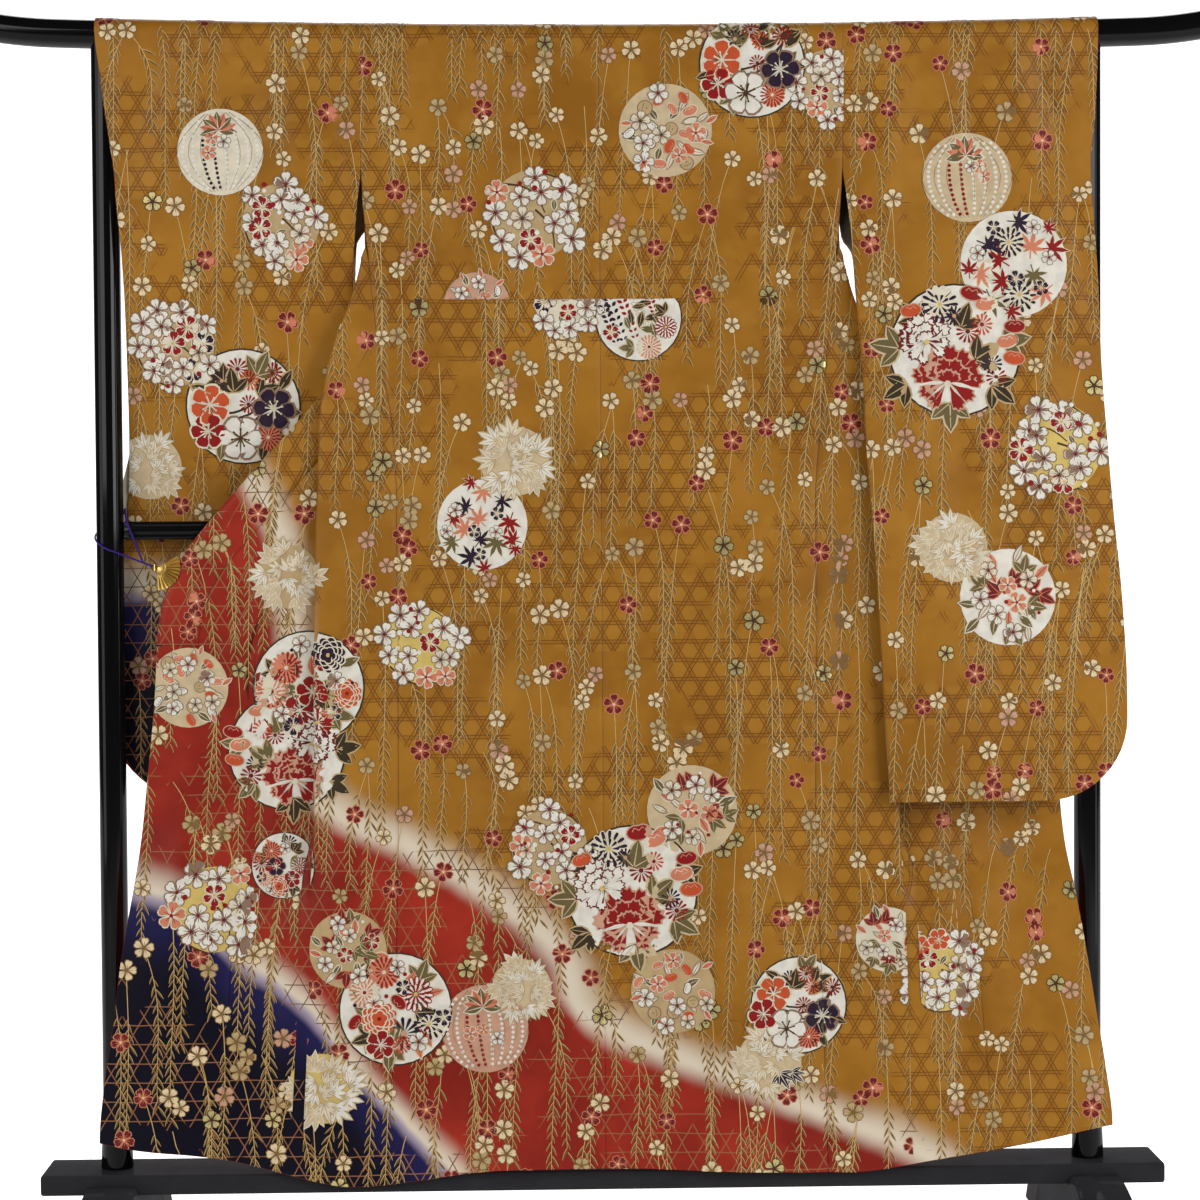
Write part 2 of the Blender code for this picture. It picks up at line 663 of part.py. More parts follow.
def make_collar(side, material, collection):
    """The folded collar along the front's slanted edge, from behind the neck to its square end."""
    levels = tuple(level for level in SHOULDER_ROWS + BODY_ROWS if COLLAR_END < level <= COLLAR_START)
    columns = 2

    def seam(level):
        return front_section(side, min(level, COLLAR_START))[-1]

    def place(column, row):
        level = levels[row]
        seam_out = seam(level)[0] + (3 * SEAM if row == 0 else SEAM)
        slope = (seam(level - SLOPE_REACH)[0] - seam(level + SLOPE_REACH)[0]) / (2 * SLOPE_REACH)
        slope = max(0.0, slope) if level - SLOPE_REACH > COLLAR_END else 0.0
        run = math.hypot(slope, 1.0)
        wide = COLLAR_WIDE * column / columns
        rise = wide * slope / run
        across = side * (seam_out + wide / run)
        depth = seam(level + rise)[1] + soft_fold(across, level + rise)
        lift = 2 * SEAM if row == len(levels) - 1 else 0.0
        return Vector((across, depth, body_height(side * seam_out, level) + rise + lift))

    return cloth(f"collar_{SIDE_NAMES[side]}", place, columns, len(levels) - 1, material, collection,
                 wall=COLLAR_THICK)


def make_neck(material, collection):
    """The collar behind the neck, hanging from the neck seam on the bar's far side."""
    columns, rows = 6, 3
    depth = BAR_RADIUS + TOUCH + COLLAR_THICK / 2

    def place(column, row):
        share = column / columns * 2 - 1
        down = row / rows
        height = bar_height(NECK_OUT * share) - SEAM - COLLAR_WIDE * down
        return Vector((NECK_OUT * share, depth + NECK_SAG * down * (1 - share * share), height))

    return cloth("collar_neck", place, columns, rows, material, collection, wall=COLLAR_THICK)


def make_sleeve(side, layer, material, collection):
    """Half of a sleeve, near or far, with the rounded corner at its outer bottom end."""
    table = SLEEVE_LEFT if side == LEFT else SLEEVE_RIGHT
    columns = 8
    corner_rows = tuple(SLEEVE_BOTTOM + SLEEVE_CORNER * (1 - share) for share in reversed(CORNER_STEPS))
    levels = SHOULDER_ROWS + SLEEVE_ROWS + corner_rows
    wraps = WRAP_STEPS if layer == "near" else 0

    def place(column, row):
        wrapping = row <= wraps
        level = BAR_HEIGHT if wrapping else levels[row - wraps - 1]
        inner = along(table, level, 1) + SEAM / 2
        outer = along(table, level, 2 if layer == "near" else 3)
        left_over = SLEEVE_CORNER - (level - SLEEVE_BOTTOM)
        if left_over > 0:
            outer -= SLEEVE_CORNER - math.sqrt(max(0.0, SLEEVE_CORNER ** 2 - left_over ** 2))
        share = column / columns
        across = side * mix(inner, outer, share)
        if wrapping and wraps:
            return wrap_point(across, row)
        if wrapping:
            return Vector((across, WRAP, bar_height(across) - SEAM))
        if layer == "near":
            depth = along(table, level, 4)
        else:
            stepped = ease((share - FAR_STEP) / (1 - FAR_STEP))
            depth = mix(along(table, level, 5), along(table, level, 6), stepped)
        height = level + hung_rise(across, level)
        if side == RIGHT:
            depth += soft_fold(across, level)
        return Vector((across, depth, height))

    return cloth(f"sleeve_{SIDE_NAMES[side]}_{layer}", place, columns, wraps + len(levels), material,
                 collection)


# Clip and cord

def make_clip(material, collection, cutters):
    """A small open-fan clip: pleated front plate, and a jaw behind the collar joined to it at the pivot."""
    across = LEFT * CLIP_PIVOT_OUT
    edge_depth = front_section(LEFT, CLIP_PIVOT_HEIGHT)[-1][1] + soft_fold(across, CLIP_PIVOT_HEIGHT)
    front_depth = edge_depth - COLLAR_THICK / 2 - 2 * TOUCH - CLIP_PLEAT
    jaw_depth = edge_depth + COLLAR_THICK / 2 + TOUCH
    root_reach, root_rise = CLIP_ROOT
    outline = [(-root_reach, root_rise), (-root_reach, -root_rise)]
    for blade in range(CLIP_BLADES + 1):
        angle = CLIP_MIDDLE + CLIP_SPREAD * (blade / CLIP_BLADES - 0.5)
        outline.append((CLIP_RADIUS * math.cos(angle), CLIP_RADIUS * math.sin(angle)))
    shape = bmesh.new()
    near, far = [], []
    for index, (along_x, along_z) in enumerate(outline):
        depth = front_depth + CLIP_PLEAT * (index % 2)
        height = CLIP_PIVOT_HEIGHT + along_z
        near.append(shape.verts.new((across + along_x, depth - CLIP_THICK, height)))
        far.append(shape.verts.new((across + along_x, depth, height)))
    centres = [shape.verts.new((across, front_depth - CLIP_THICK, CLIP_PIVOT_HEIGHT)),
               shape.verts.new((across, front_depth, CLIP_PIVOT_HEIGHT))]
    count = len(outline)
    for index in range(count):
        after = (index + 1) % count
        shape.faces.new((near[index], near[after], centres[0]))
        shape.faces.new((far[after], far[index], centres[1]))
        shape.faces.new((near[index], far[index], far[after], near[after]))
    clip = add_mesh("collar_clip", shape, material, collection, smooth=False)
    bridge_wide, bridge_tall = CLIP_BRIDGE
    jaw_long, jaw_tall = CLIP_JAW
    reach = jaw_depth + CLIP_THICK - front_depth + CLIP_THICK / 2
    bridge = box_shape((bridge_wide, reach, bridge_tall),
                       (across - bridge_wide, front_depth - CLIP_THICK / 2 + reach / 2, CLIP_PIVOT_HEIGHT))
    jaw = box_shape((jaw_long, CLIP_THICK * 0.9, jaw_tall),
                    (across - bridge_wide - TOUCH + jaw_long / 2, jaw_depth + CLIP_THICK / 2,
                     CLIP_PIVOT_HEIGHT))
    for name, piece in (("clip_bridge", bridge), ("clip_jaw", jaw)):
        added = add_mesh(name, piece, material, cutters, smooth=False)
        added.hide_render = True
        added.display_type = 'WIRE'
        union = clip.modifiers.new(name, 'BOOLEAN')
        union.operation = 'UNION'
        union.object = added
    return clip


def make_clip_cord(material, collection):
    """The clip's cord, drawn tight to the post and once round it."""
    loop = (POST_RADIUS + TOUCH + CORD_RADIUS) / math.cos(CORD_WOUND / CORD_TURNS / 2)
    edge_depth = front_section(LEFT, CLIP_PIVOT_HEIGHT)[-1][1]
    start = Vector((-CLIP_PIVOT_OUT - CORD_START[0], edge_depth, CLIP_PIVOT_HEIGHT + CORD_START[1]))
    points = []
    for step in range(CORD_TURNS + 1):
        share = step / CORD_TURNS
        angle = CORD_MEETS_POST - CORD_WOUND * share
        points.append(Vector((-POST_OUT + loop * math.cos(angle), loop * math.sin(angle),
                              CORD_TURN_HEIGHT - CORD_DROP * (1 - share))))
    points[0:0] = [start.lerp(points[0], share) for share in (0.0, 0.25, 0.5, 0.75)]
    return tube("clip_cord", points, CORD_RADIUS, material, collection, resolution=2)


def main():
    for stale in list(bpy.data.objects):
        bpy.data.objects.remove(stale)
    parts = new_collection("furisode_on_kimono_stand")
    cutters = new_collection("cutters")
    lacquer = new_material("black_lacquer", (0.008, 0.008, 0.009), 0.15)
    gold_silk = new_material("gold_silk", (0.43, 0.20, 0.03), 0.6)
    red_silk = new_material("red_silk", (0.44, 0.03, 0.015), 0.6)
    navy_silk = new_material("navy_silk", (0.012, 0.008, 0.04), 0.6)

    make_top_bar(lacquer, parts)
    make_rail(lacquer, parts)
    make_beam(lacquer, parts)
    for side in (LEFT, RIGHT):
        make_post(side, lacquer, parts, cutters)
        make_foot(side, lacquer, parts)
        make_back(side, gold_silk, parts)
        make_front(side, gold_silk, parts)
        make_okumi(side, red_silk, parts)
        make_collar(side, gold_silk, parts)
        for layer in ("near", "far"):
            make_sleeve(side, layer, gold_silk if side == RIGHT else navy_silk, parts)
    make_neck(gold_silk, parts)
    make_clip(new_material("gilt", (0.62, 0.42, 0.14), 0.3, metallic=1.0), parts, cutters)
    make_clip_cord(new_material("purple_cord", (0.05, 0.02, 0.15), 0.7), parts)


main()
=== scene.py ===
"""A furisode hung on its lacquered kimono stand: fine cloth, dyed pattern, stand, clip and cord.

Metres, +Z up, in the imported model's frame. -Y is the side that the garment's back faces. Distances
"out" are measured sideways from the middle of the stand, and side is -1 for the left (-X) and +1
for the right. The pattern is laid out flat, as the work is seen from the front: across is X and
height is Z, and every cloth piece carries that place as its UV map.
"""
import math
import random

import bmesh
import bpy
import numpy as np
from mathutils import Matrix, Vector
from mathutils.bvhtree import BVHTree


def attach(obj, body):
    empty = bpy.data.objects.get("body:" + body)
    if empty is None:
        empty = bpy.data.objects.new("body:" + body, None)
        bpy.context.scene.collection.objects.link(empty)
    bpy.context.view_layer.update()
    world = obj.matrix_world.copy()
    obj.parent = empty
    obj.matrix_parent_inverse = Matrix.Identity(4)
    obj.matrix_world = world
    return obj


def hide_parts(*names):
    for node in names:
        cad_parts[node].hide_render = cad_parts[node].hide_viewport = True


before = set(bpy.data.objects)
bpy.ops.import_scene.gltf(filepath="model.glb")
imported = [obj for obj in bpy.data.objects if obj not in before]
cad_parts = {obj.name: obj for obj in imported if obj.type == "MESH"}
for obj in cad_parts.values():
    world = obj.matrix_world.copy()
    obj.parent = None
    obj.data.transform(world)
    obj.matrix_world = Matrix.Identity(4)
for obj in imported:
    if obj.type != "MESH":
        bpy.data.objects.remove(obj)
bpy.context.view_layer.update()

LEFT = -1
RIGHT = 1
SIDE_NAMES = {LEFT: "left", RIGHT: "right"}

# Stand, as in the part's source
BAR_RADIUS = 0.019
BAR_HEIGHT = 1.616
BAR_END = 0.87
BAR_BOW = 0.009
TIP_START = 0.72
TIP_CURVE = 0.75
POST_OUT = 0.655
POST_RADIUS = 0.018
COLLAR_RADIUS = 0.0215
COLLAR_HEIGHT = 0.03
SADDLE_DEPTH = 0.01
RAIL_HEIGHT = 0.967
RAIL_TALL = 0.024
RAIL_DEEP = 0.02
BEAM_TOP = 0.112
BEAM_TALL = 0.027
BEAM_DEEP = 0.095
BEAM_HALF_LENGTH = 0.75
TOUCH = 0.0003
FOOT_HALF_LENGTH = 0.21
FOOT_TOP_WIDE = 0.066
FOOT_FLOOR_WIDE = 0.09
FOOT_HUMP = 0.097
FOOT_TOE = 0.034
TOE_ROUND = 0.0153
TOE_SLANT = 0.4
FOOT_PAD = 0.075
FOOT_ARCH = 0.03
ARCH_FULLNESS = 0.7
CLIP_OUT = 0.589
CLIP_HEIGHT = 0.918
CLIP_SPREAD = math.radians(130)
CLIP_MIDDLE = math.radians(-30)
CORD_RADIUS = 0.0013
BOARD_EDGE = 0.0035
FOOT_EDGE = 0.0028
GROOVE = (
    # place across the groove, how deep it is cut
    (-0.0018, 0.0),
    (-0.0009, 0.0007),
    (0.0, 0.001),
    (0.0009, 0.0007),
    (0.0018, 0.0),
)
FAN_PLEATS = 12
FAN_THICK = 0.0007
PLEAT_DEPTH = 0.0011
PLATE_GAP = 0.0018
FAN_RINGS = (
    # reach from the clip's pivot, lift off the plate
    (0.0, 0.0),
    (0.0035, 0.0012),
    (0.0095, 0.001),
    (0.0105, 0.0),
    (0.02, 0.0),
    (0.0285, 0.0),
    (0.03, 0.0),
)
BARREL_RINGS = (
    # height, share of the full size
    (-0.006, 0.3),
    (-0.0055, 0.8),
    (-0.0045, 1.0),
    (0.0045, 1.0),
    (0.0055, 0.8),
    (0.006, 0.3),
)

# Cloth, as in the part's source
WALL = 0.002
SEAM = 0.0001               # the fine cloth's pieces all but meet
WRAP_STEPS = 8
WRAP = (BAR_RADIUS + TOUCH + WALL / 2) / math.cos(math.pi / 2 / WRAP_STEPS)
FOLD_RADIUS = 0.004
COLLAR_WIDE = 0.055
COLLAR_THICK = 0.003
NECK_OUT = 0.0745
NECK_SAG = 0.004
HEM_LEVEL = 0.117
COLLAR_END = 0.806
END_STEP = 0.006
COLLAR_START = 1.552
OPEN_EDGE = 0.0022
SHORTEST = 0.003
TUCK_HEIGHT = 1.272
OPEN_TOP = 1.446
SIDE_TOP = 1.32
OKUMI_TOP = 1.36
SHOULDER_ROWS = (1.6, 1.576, COLLAR_START, 1.51, OPEN_TOP)
BODY_ROWS = (1.4, OKUMI_TOP, 1.34, SIDE_TOP, TUCK_HEIGHT, 1.22, 1.165, 1.11, 1.055, 1.0, 0.945,
             0.89, 0.845, COLLAR_END + END_STEP, COLLAR_END, 0.76, 0.7, 0.64, 0.58, 0.52, 0.46,
             0.4, 0.34, 0.28, 0.225, 0.17, HEM_LEVEL)
SLEEVE_CORNER = 0.11
SLEEVE_BOTTOM = 0.601
SLEEVE_ROWS = (1.4, 1.36, 1.32, 1.27, 1.21, 1.145, 1.08, 1.01, 0.94, 0.87, 0.79, 0.711)
FAR_STEP = 2 / 7
SLOPE_REACH = 0.004

BODY_SIDE = (
    # height, left, right
    (1.616, 0.3166, 0.3247),
    (1.446, 0.315, 0.323),
    (1.307, 0.3046, 0.3126),
    (1.2, 0.293, 0.301),
    (1.11, 0.277, 0.293),
    (1.0, 0.2715, 0.285),
    (0.8, 0.2715, 0.285),
    (0.6, 0.272, 0.283),
    (0.35, 0.278, 0.29),
    (0.1, 0.289, 0.296),
)
BODY_DEPTH = (
    # height, back, front
    (1.6, -0.0207, 0.0207),
    (1.56, -0.0218, 0.0207),
    (1.51, -0.024, 0.02),
    (1.446, -0.0265, 0.0175),
    (1.4, -0.028, 0.004),
    (1.36, -0.029, -0.011),
    (1.32, -0.03, -0.022),
    (1.2, -0.0315, -0.0235),
    (0.97, -0.035, -0.027),
    (0.6, -0.042, -0.034),
    (0.3, -0.054, -0.046),
    (0.1, -0.063, -0.055),
)
FRONT_FOLD = (
    # height, first stretch, inner fold out, first way, second way, third way
    (1.616, 0.004, 0.106, 1.0, 1.0, 1.0),
    (1.6, 0.004, 0.105, 1.0, 1.0, 1.0),
    (1.576, 0.004, 0.098, 1.0, 1.0, 0.5),
    (1.552, 0.004, 0.09, 1.0, 1.0, 0.0),
    (1.51, 0.004, 0.082, 1.0, 1.0, 0.0),
    (1.446, 0.004, 0.097, 1.0, 1.0, 0.0),
    (1.4, 0.004, 0.11, 1.0, 1.0, 0.0),
    (1.36, 0.004, 0.124, 0.85, 1.0, 0.0),
    (1.34, 0.005, 0.131, 0.5, 1.0, 0.0),
    (1.32, 0.006, 0.138, 0.0, 1.0, 0.0),
    (1.272, 0.024, 0.165, 0.0, 1.0, 0.0),
    (1.22, 0.05, 0.195, 0.0, 1.0, 0.0),
    (1.165, 0.073, 0.222, 0.0, 1.0, 0.0),
    (1.11, 0.091, 0.248, 0.0, 1.0, 0.0),
    (1.0, 0.101, 0.292, 0.0, 1.0, 0.0),
    (0.89, 0.104, 0.325, 0.0, 1.0, 0.0),
    (0.76, 0.106, 0.355, 0.0, 1.0, 0.0),
    (0.64, 0.106, 0.368, 0.0, 0.9, 0.0),
    (0.52, 0.104, 0.38, 0.0, 0.4, 0.0),
    (0.43, 0.102, 0.4, 0.0, 0.0, 0.0),
    (0.1, 0.1, 0.4, 0.0, 0.0, 0.0),
)
COLLAR_SEAM = (
    # height, out
    (1.616, 0.098),
    (1.576, 0.098),
    (1.552, 0.096),
    (1.51, 0.093),
    (1.446, 0.109),
    (1.4, 0.134),
    (1.3, 0.2),
    (1.117, 0.3255),
    (1.027, 0.404),
    (0.96, 0.464),
    (0.91, 0.505),
    (0.865, 0.527),
    (0.806, 0.537),
)
OPEN_GAP = (
    # height, how far outside the body's side the front's edge stands
    (SIDE_TOP, SEAM / 2),
    (SIDE_TOP + 0.02, OPEN_EDGE),
    (1.4, OPEN_EDGE),
    (OPEN_TOP, -SEAM / 2),
)
FREE_EDGE = (
    # height, left, right
    (0.812, 0.592, 0.592),
    (0.725, 0.596, 0.598),
    (0.62, 0.607, 0.613),
    (0.48, 0.622, 0.626),
    (0.37, 0.639, 0.642),
    (0.27, 0.651, 0.656),
    (0.2, 0.661, 0.666),
    (0.117, 0.668, 0.675),
)
OKUMI_WIDTH = (
    # height, width
    (1.36, 0.006),
    (1.2, 0.03),
    (1.0, 0.054),
    (0.87, 0.078),
    (0.812, 0.082),
    (0.806, 0.13),
    (0.6, 0.134),
    (0.38, 0.143),
    (0.1, 0.158),
)
HEM_LINE = (
    # across, drop
    (-0.7, 0.046),
    (-0.628, 0.034),
    (-0.518, 0.02),
    (-0.446, 0.003),
    (-0.379, -0.013),
    (-0.318, -0.019),
    (-0.242, -0.013),
    (-0.166, -0.003),
    (-0.088, 0.001),
    (0.0, 0.0),
    (0.126, -0.004),
    (0.32, -0.009),
    (0.437, 0.007),
    (0.56, 0.026),
    (0.7, 0.053),
)
SLEEVE_LEFT = (
    # height, inner edge, near outer edge, far outer edge, near depth, far depth inside, far depth outside
    (1.616, 0.3166, 0.665, 0.665, -0.0207, 0.0207, 0.0209),
    (1.56, 0.3162, 0.658, 0.66, -0.0218, 0.0207, 0.0212),
    (1.51, 0.3158, 0.651, 0.645, -0.024, 0.02, 0.0212),
    (1.446, 0.3155, 0.641, 0.633, -0.0265, 0.0175, 0.02),
    (1.4, 0.3205, 0.638, 0.6325, -0.0262, 0.022, 0.004),
    (1.36, 0.324, 0.634, 0.6325, -0.024, 0.0255, -0.01),
    (1.32, 0.3268, 0.632, 0.6315, -0.019, 0.0265, -0.013),
    (1.27, 0.328, 0.6305, 0.6305, -0.011, 0.0275, -0.0083),
    (1.21, 0.3285, 0.63, 0.63, -0.002, 0.0285, 0.0007),
    (1.145, 0.3287, 0.63, 0.63, 0.008, 0.0295, 0.0107),
    (1.08, 0.328, 0.6305, 0.6305, 0.016, 0.0305, 0.0187),
    (1.01, 0.329, 0.633, 0.633, 0.022, 0.0315, 0.0248),
    (0.94, 0.33, 0.64, 0.64, 0.024, 0.032, 0.0267),
    (0.79, 0.331, 0.65, 0.65, 0.0245, 0.032, 0.0271),
    (0.601, 0.333, 0.653, 0.653, 0.0245, 0.0271, 0.0271),
)
SLEEVE_RIGHT = (
    # height, inner edge, near outer edge, far outer edge, near depth, far depth inside, far depth outside
    (1.616, 0.3247, 0.666, 0.665, -0.0207, 0.0207, 0.0209),
    (1.56, 0.3243, 0.664, 0.66, -0.0218, 0.0207, 0.0212),
    (1.51, 0.3239, 0.661, 0.645, -0.024, 0.02, 0.0212),
    (1.446, 0.3236, 0.655, 0.633, -0.0265, 0.0175, 0.02),
    (1.4, 0.329, 0.6555, 0.6325, -0.033, -0.002, -0.008),
    (1.36, 0.333, 0.657, 0.64, -0.038, -0.02, -0.024),
    (1.32, 0.336, 0.659, 0.654, -0.043, -0.033, -0.037),
    (1.27, 0.339, 0.661, 0.6605, -0.0475, -0.0395, -0.0448),
    (1.18, 0.347, 0.664, 0.664, -0.049, -0.041, -0.0463),
    (1.08, 0.351, 0.6715, 0.6715, -0.0505, -0.0425, -0.0478),
    (0.98, 0.359, 0.68, 0.68, -0.0515, -0.0435, -0.0488),
    (0.89, 0.365, 0.689, 0.689, -0.053, -0.045, -0.0503),
    (0.78, 0.371, 0.696, 0.696, -0.055, -0.047, -0.0523),
    (0.7, 0.375, 0.697, 0.697, -0.0565, -0.049, -0.0538),
    (0.601, 0.38, 0.697, 0.697, -0.0585, -0.0558, -0.0558),
)
SLEEVES = {LEFT: SLEEVE_LEFT, RIGHT: SLEEVE_RIGHT}
SOFT_FOLDS = (
    # across at the shoulder, across at the hem, half width, depth, starts at, full at
    (-0.5, -0.6, 0.045, -0.006, 0.85, 0.35),
    (-0.4, -0.47, 0.04, 0.006, 0.8, 0.3),
    (-0.33, -0.345, 0.034, -0.008, 0.9, 0.25),
    (-0.2, -0.215, 0.05, 0.005, 1.1, 0.3),
    (-0.08, -0.09, 0.045, -0.005, 1.0, 0.25),
    (0.04, 0.05, 0.05, 0.004, 0.9, 0.25),
    (0.18, 0.17, 0.045, -0.005, 1.15, 0.3),
    (0.318, 0.3, 0.022, 0.004, 1.15, 0.9),
    (0.43, 0.42, 0.05, -0.004, 1.3, 0.7),
    (0.56, 0.57, 0.045, 0.003, 1.2, 0.7),
    (0.64, 0.64, 0.04, -0.005, 0.7, 0.2),
)

# Fine cloth
GRID = 0.009                # largest step of the cloth's mesh
FINE_WALL = 0.0015
WRAP_FINE = 24              # steps of the fine cloth round the bar's upper half
PIPING = 0.0006             # width of the dark red edge that shows along hems and sleeve openings
SEAM_TURN = 0.0014          # the cloth turns back this far before a seam
SEAM_DIP = 0.0008
SLEEVE_COLUMNS = 36
FAR_SHOWS = 0.012           # a sleeve's far half shows this much beside its near half
SLIT_FOOT = {LEFT: 1.350, RIGHT: 1.328}
TUCK_LEVELS = (1.3, 1.292, 1.28, 1.2745, 1.2716, 1.2704, 1.268, 1.262)
FOLD_LEVELS = (0.694, 0.688, 0.685, 0.682, 0.679, 0.676, 0.67, 0.42, 0.412, 0.408, 0.404, 0.4, 0.394)


def along(table, key, column):
    """A table's column at values of its first column, on a smooth curve through its rows."""
    rows = np.array(sorted(table))
    keys, values = rows[:, 0], rows[:, column]
    key = np.clip(key, keys[0], keys[-1])
    here = np.clip(np.searchsorted(keys, key, side="right") - 1, 0, len(keys) - 2)
    before, after = np.diff(values)[:-1], np.diff(values)[1:]
    slopes = np.zeros(len(keys))
    slopes[1:-1] = np.where(before * after > 0, (values[2:] - values[:-2]) / (keys[2:] - keys[:-2]), 0.0)
    span = keys[here + 1] - keys[here]
    share = (key - keys[here]) / span
    limit = 2.5 * np.abs(values[here + 1] - values[here])
    start_slope = np.clip(slopes[here] * span, -limit, limit)
    end_slope = np.clip(slopes[here + 1] * span, -limit, limit)
    square, cube = share ** 2, share ** 3
    return (values[here] * (2 * cube - 3 * square + 1) + start_slope * (cube - 2 * square + share)
            + values[here + 1] * (3 * square - 2 * cube) + end_slope * (cube - square))


def mix(start, end, share):
    return start + (end - start) * share


def ease(share):
    """0 to 1 with soft ends."""
    share = np.clip(share, 0.0, 1.0)
    return share * share * (3 - 2 * share)


def side_column(side):
    return 1 if side == LEFT else 2


def bar_height(across):
    rise = BAR_BOW * (across / POST_OUT) ** 2
    return BAR_HEIGHT + rise + TIP_CURVE * np.maximum(0.0, np.abs(across) - TIP_START) ** 2


def soft_fold(across, height):
    total = 0.0
    for top, bottom, half_width, depth, start, full in SOFT_FOLDS:
        centre = mix(top, bottom, (BAR_HEIGHT - height) / (BAR_HEIGHT - HEM_LEVEL))
        fade = ease((start - height) / (start - full))
        total = total + depth * fade * np.exp(-((across - centre) / half_width) ** 2)
    return total


def hung_rise(across, level):
    return (bar_height(across) - BAR_HEIGHT) * ease((level - OPEN_TOP) / (BAR_HEIGHT - OPEN_TOP))


def body_height(across, level):
    share = ease((0.9 - level) / (0.9 - HEM_LEVEL))
    return level + along(HEM_LINE, across, 1) * share


def finely(levels, step=GRID):
    """The levels, with even steps between them that are no longer than step."""
    fine = [levels[0]]
    for start, end in zip(levels, levels[1:]):
        count = max(1, math.ceil(abs(end - start) / step))
        fine += [mix(start, end, (index + 1) / count) for index in range(count)]
    return fine


def with_levels(levels, more):
    """The levels with some more, in place of those that lie close to them."""
    kept = [level for level in levels[1:-2] if all(abs(level - other) > 0.0025 for other in more)]
    between = [level for level in more if levels[-2] < level < levels[0]]
    return [levels[0]] + sorted(kept + between, reverse=True) + levels[-2:]


# Creases

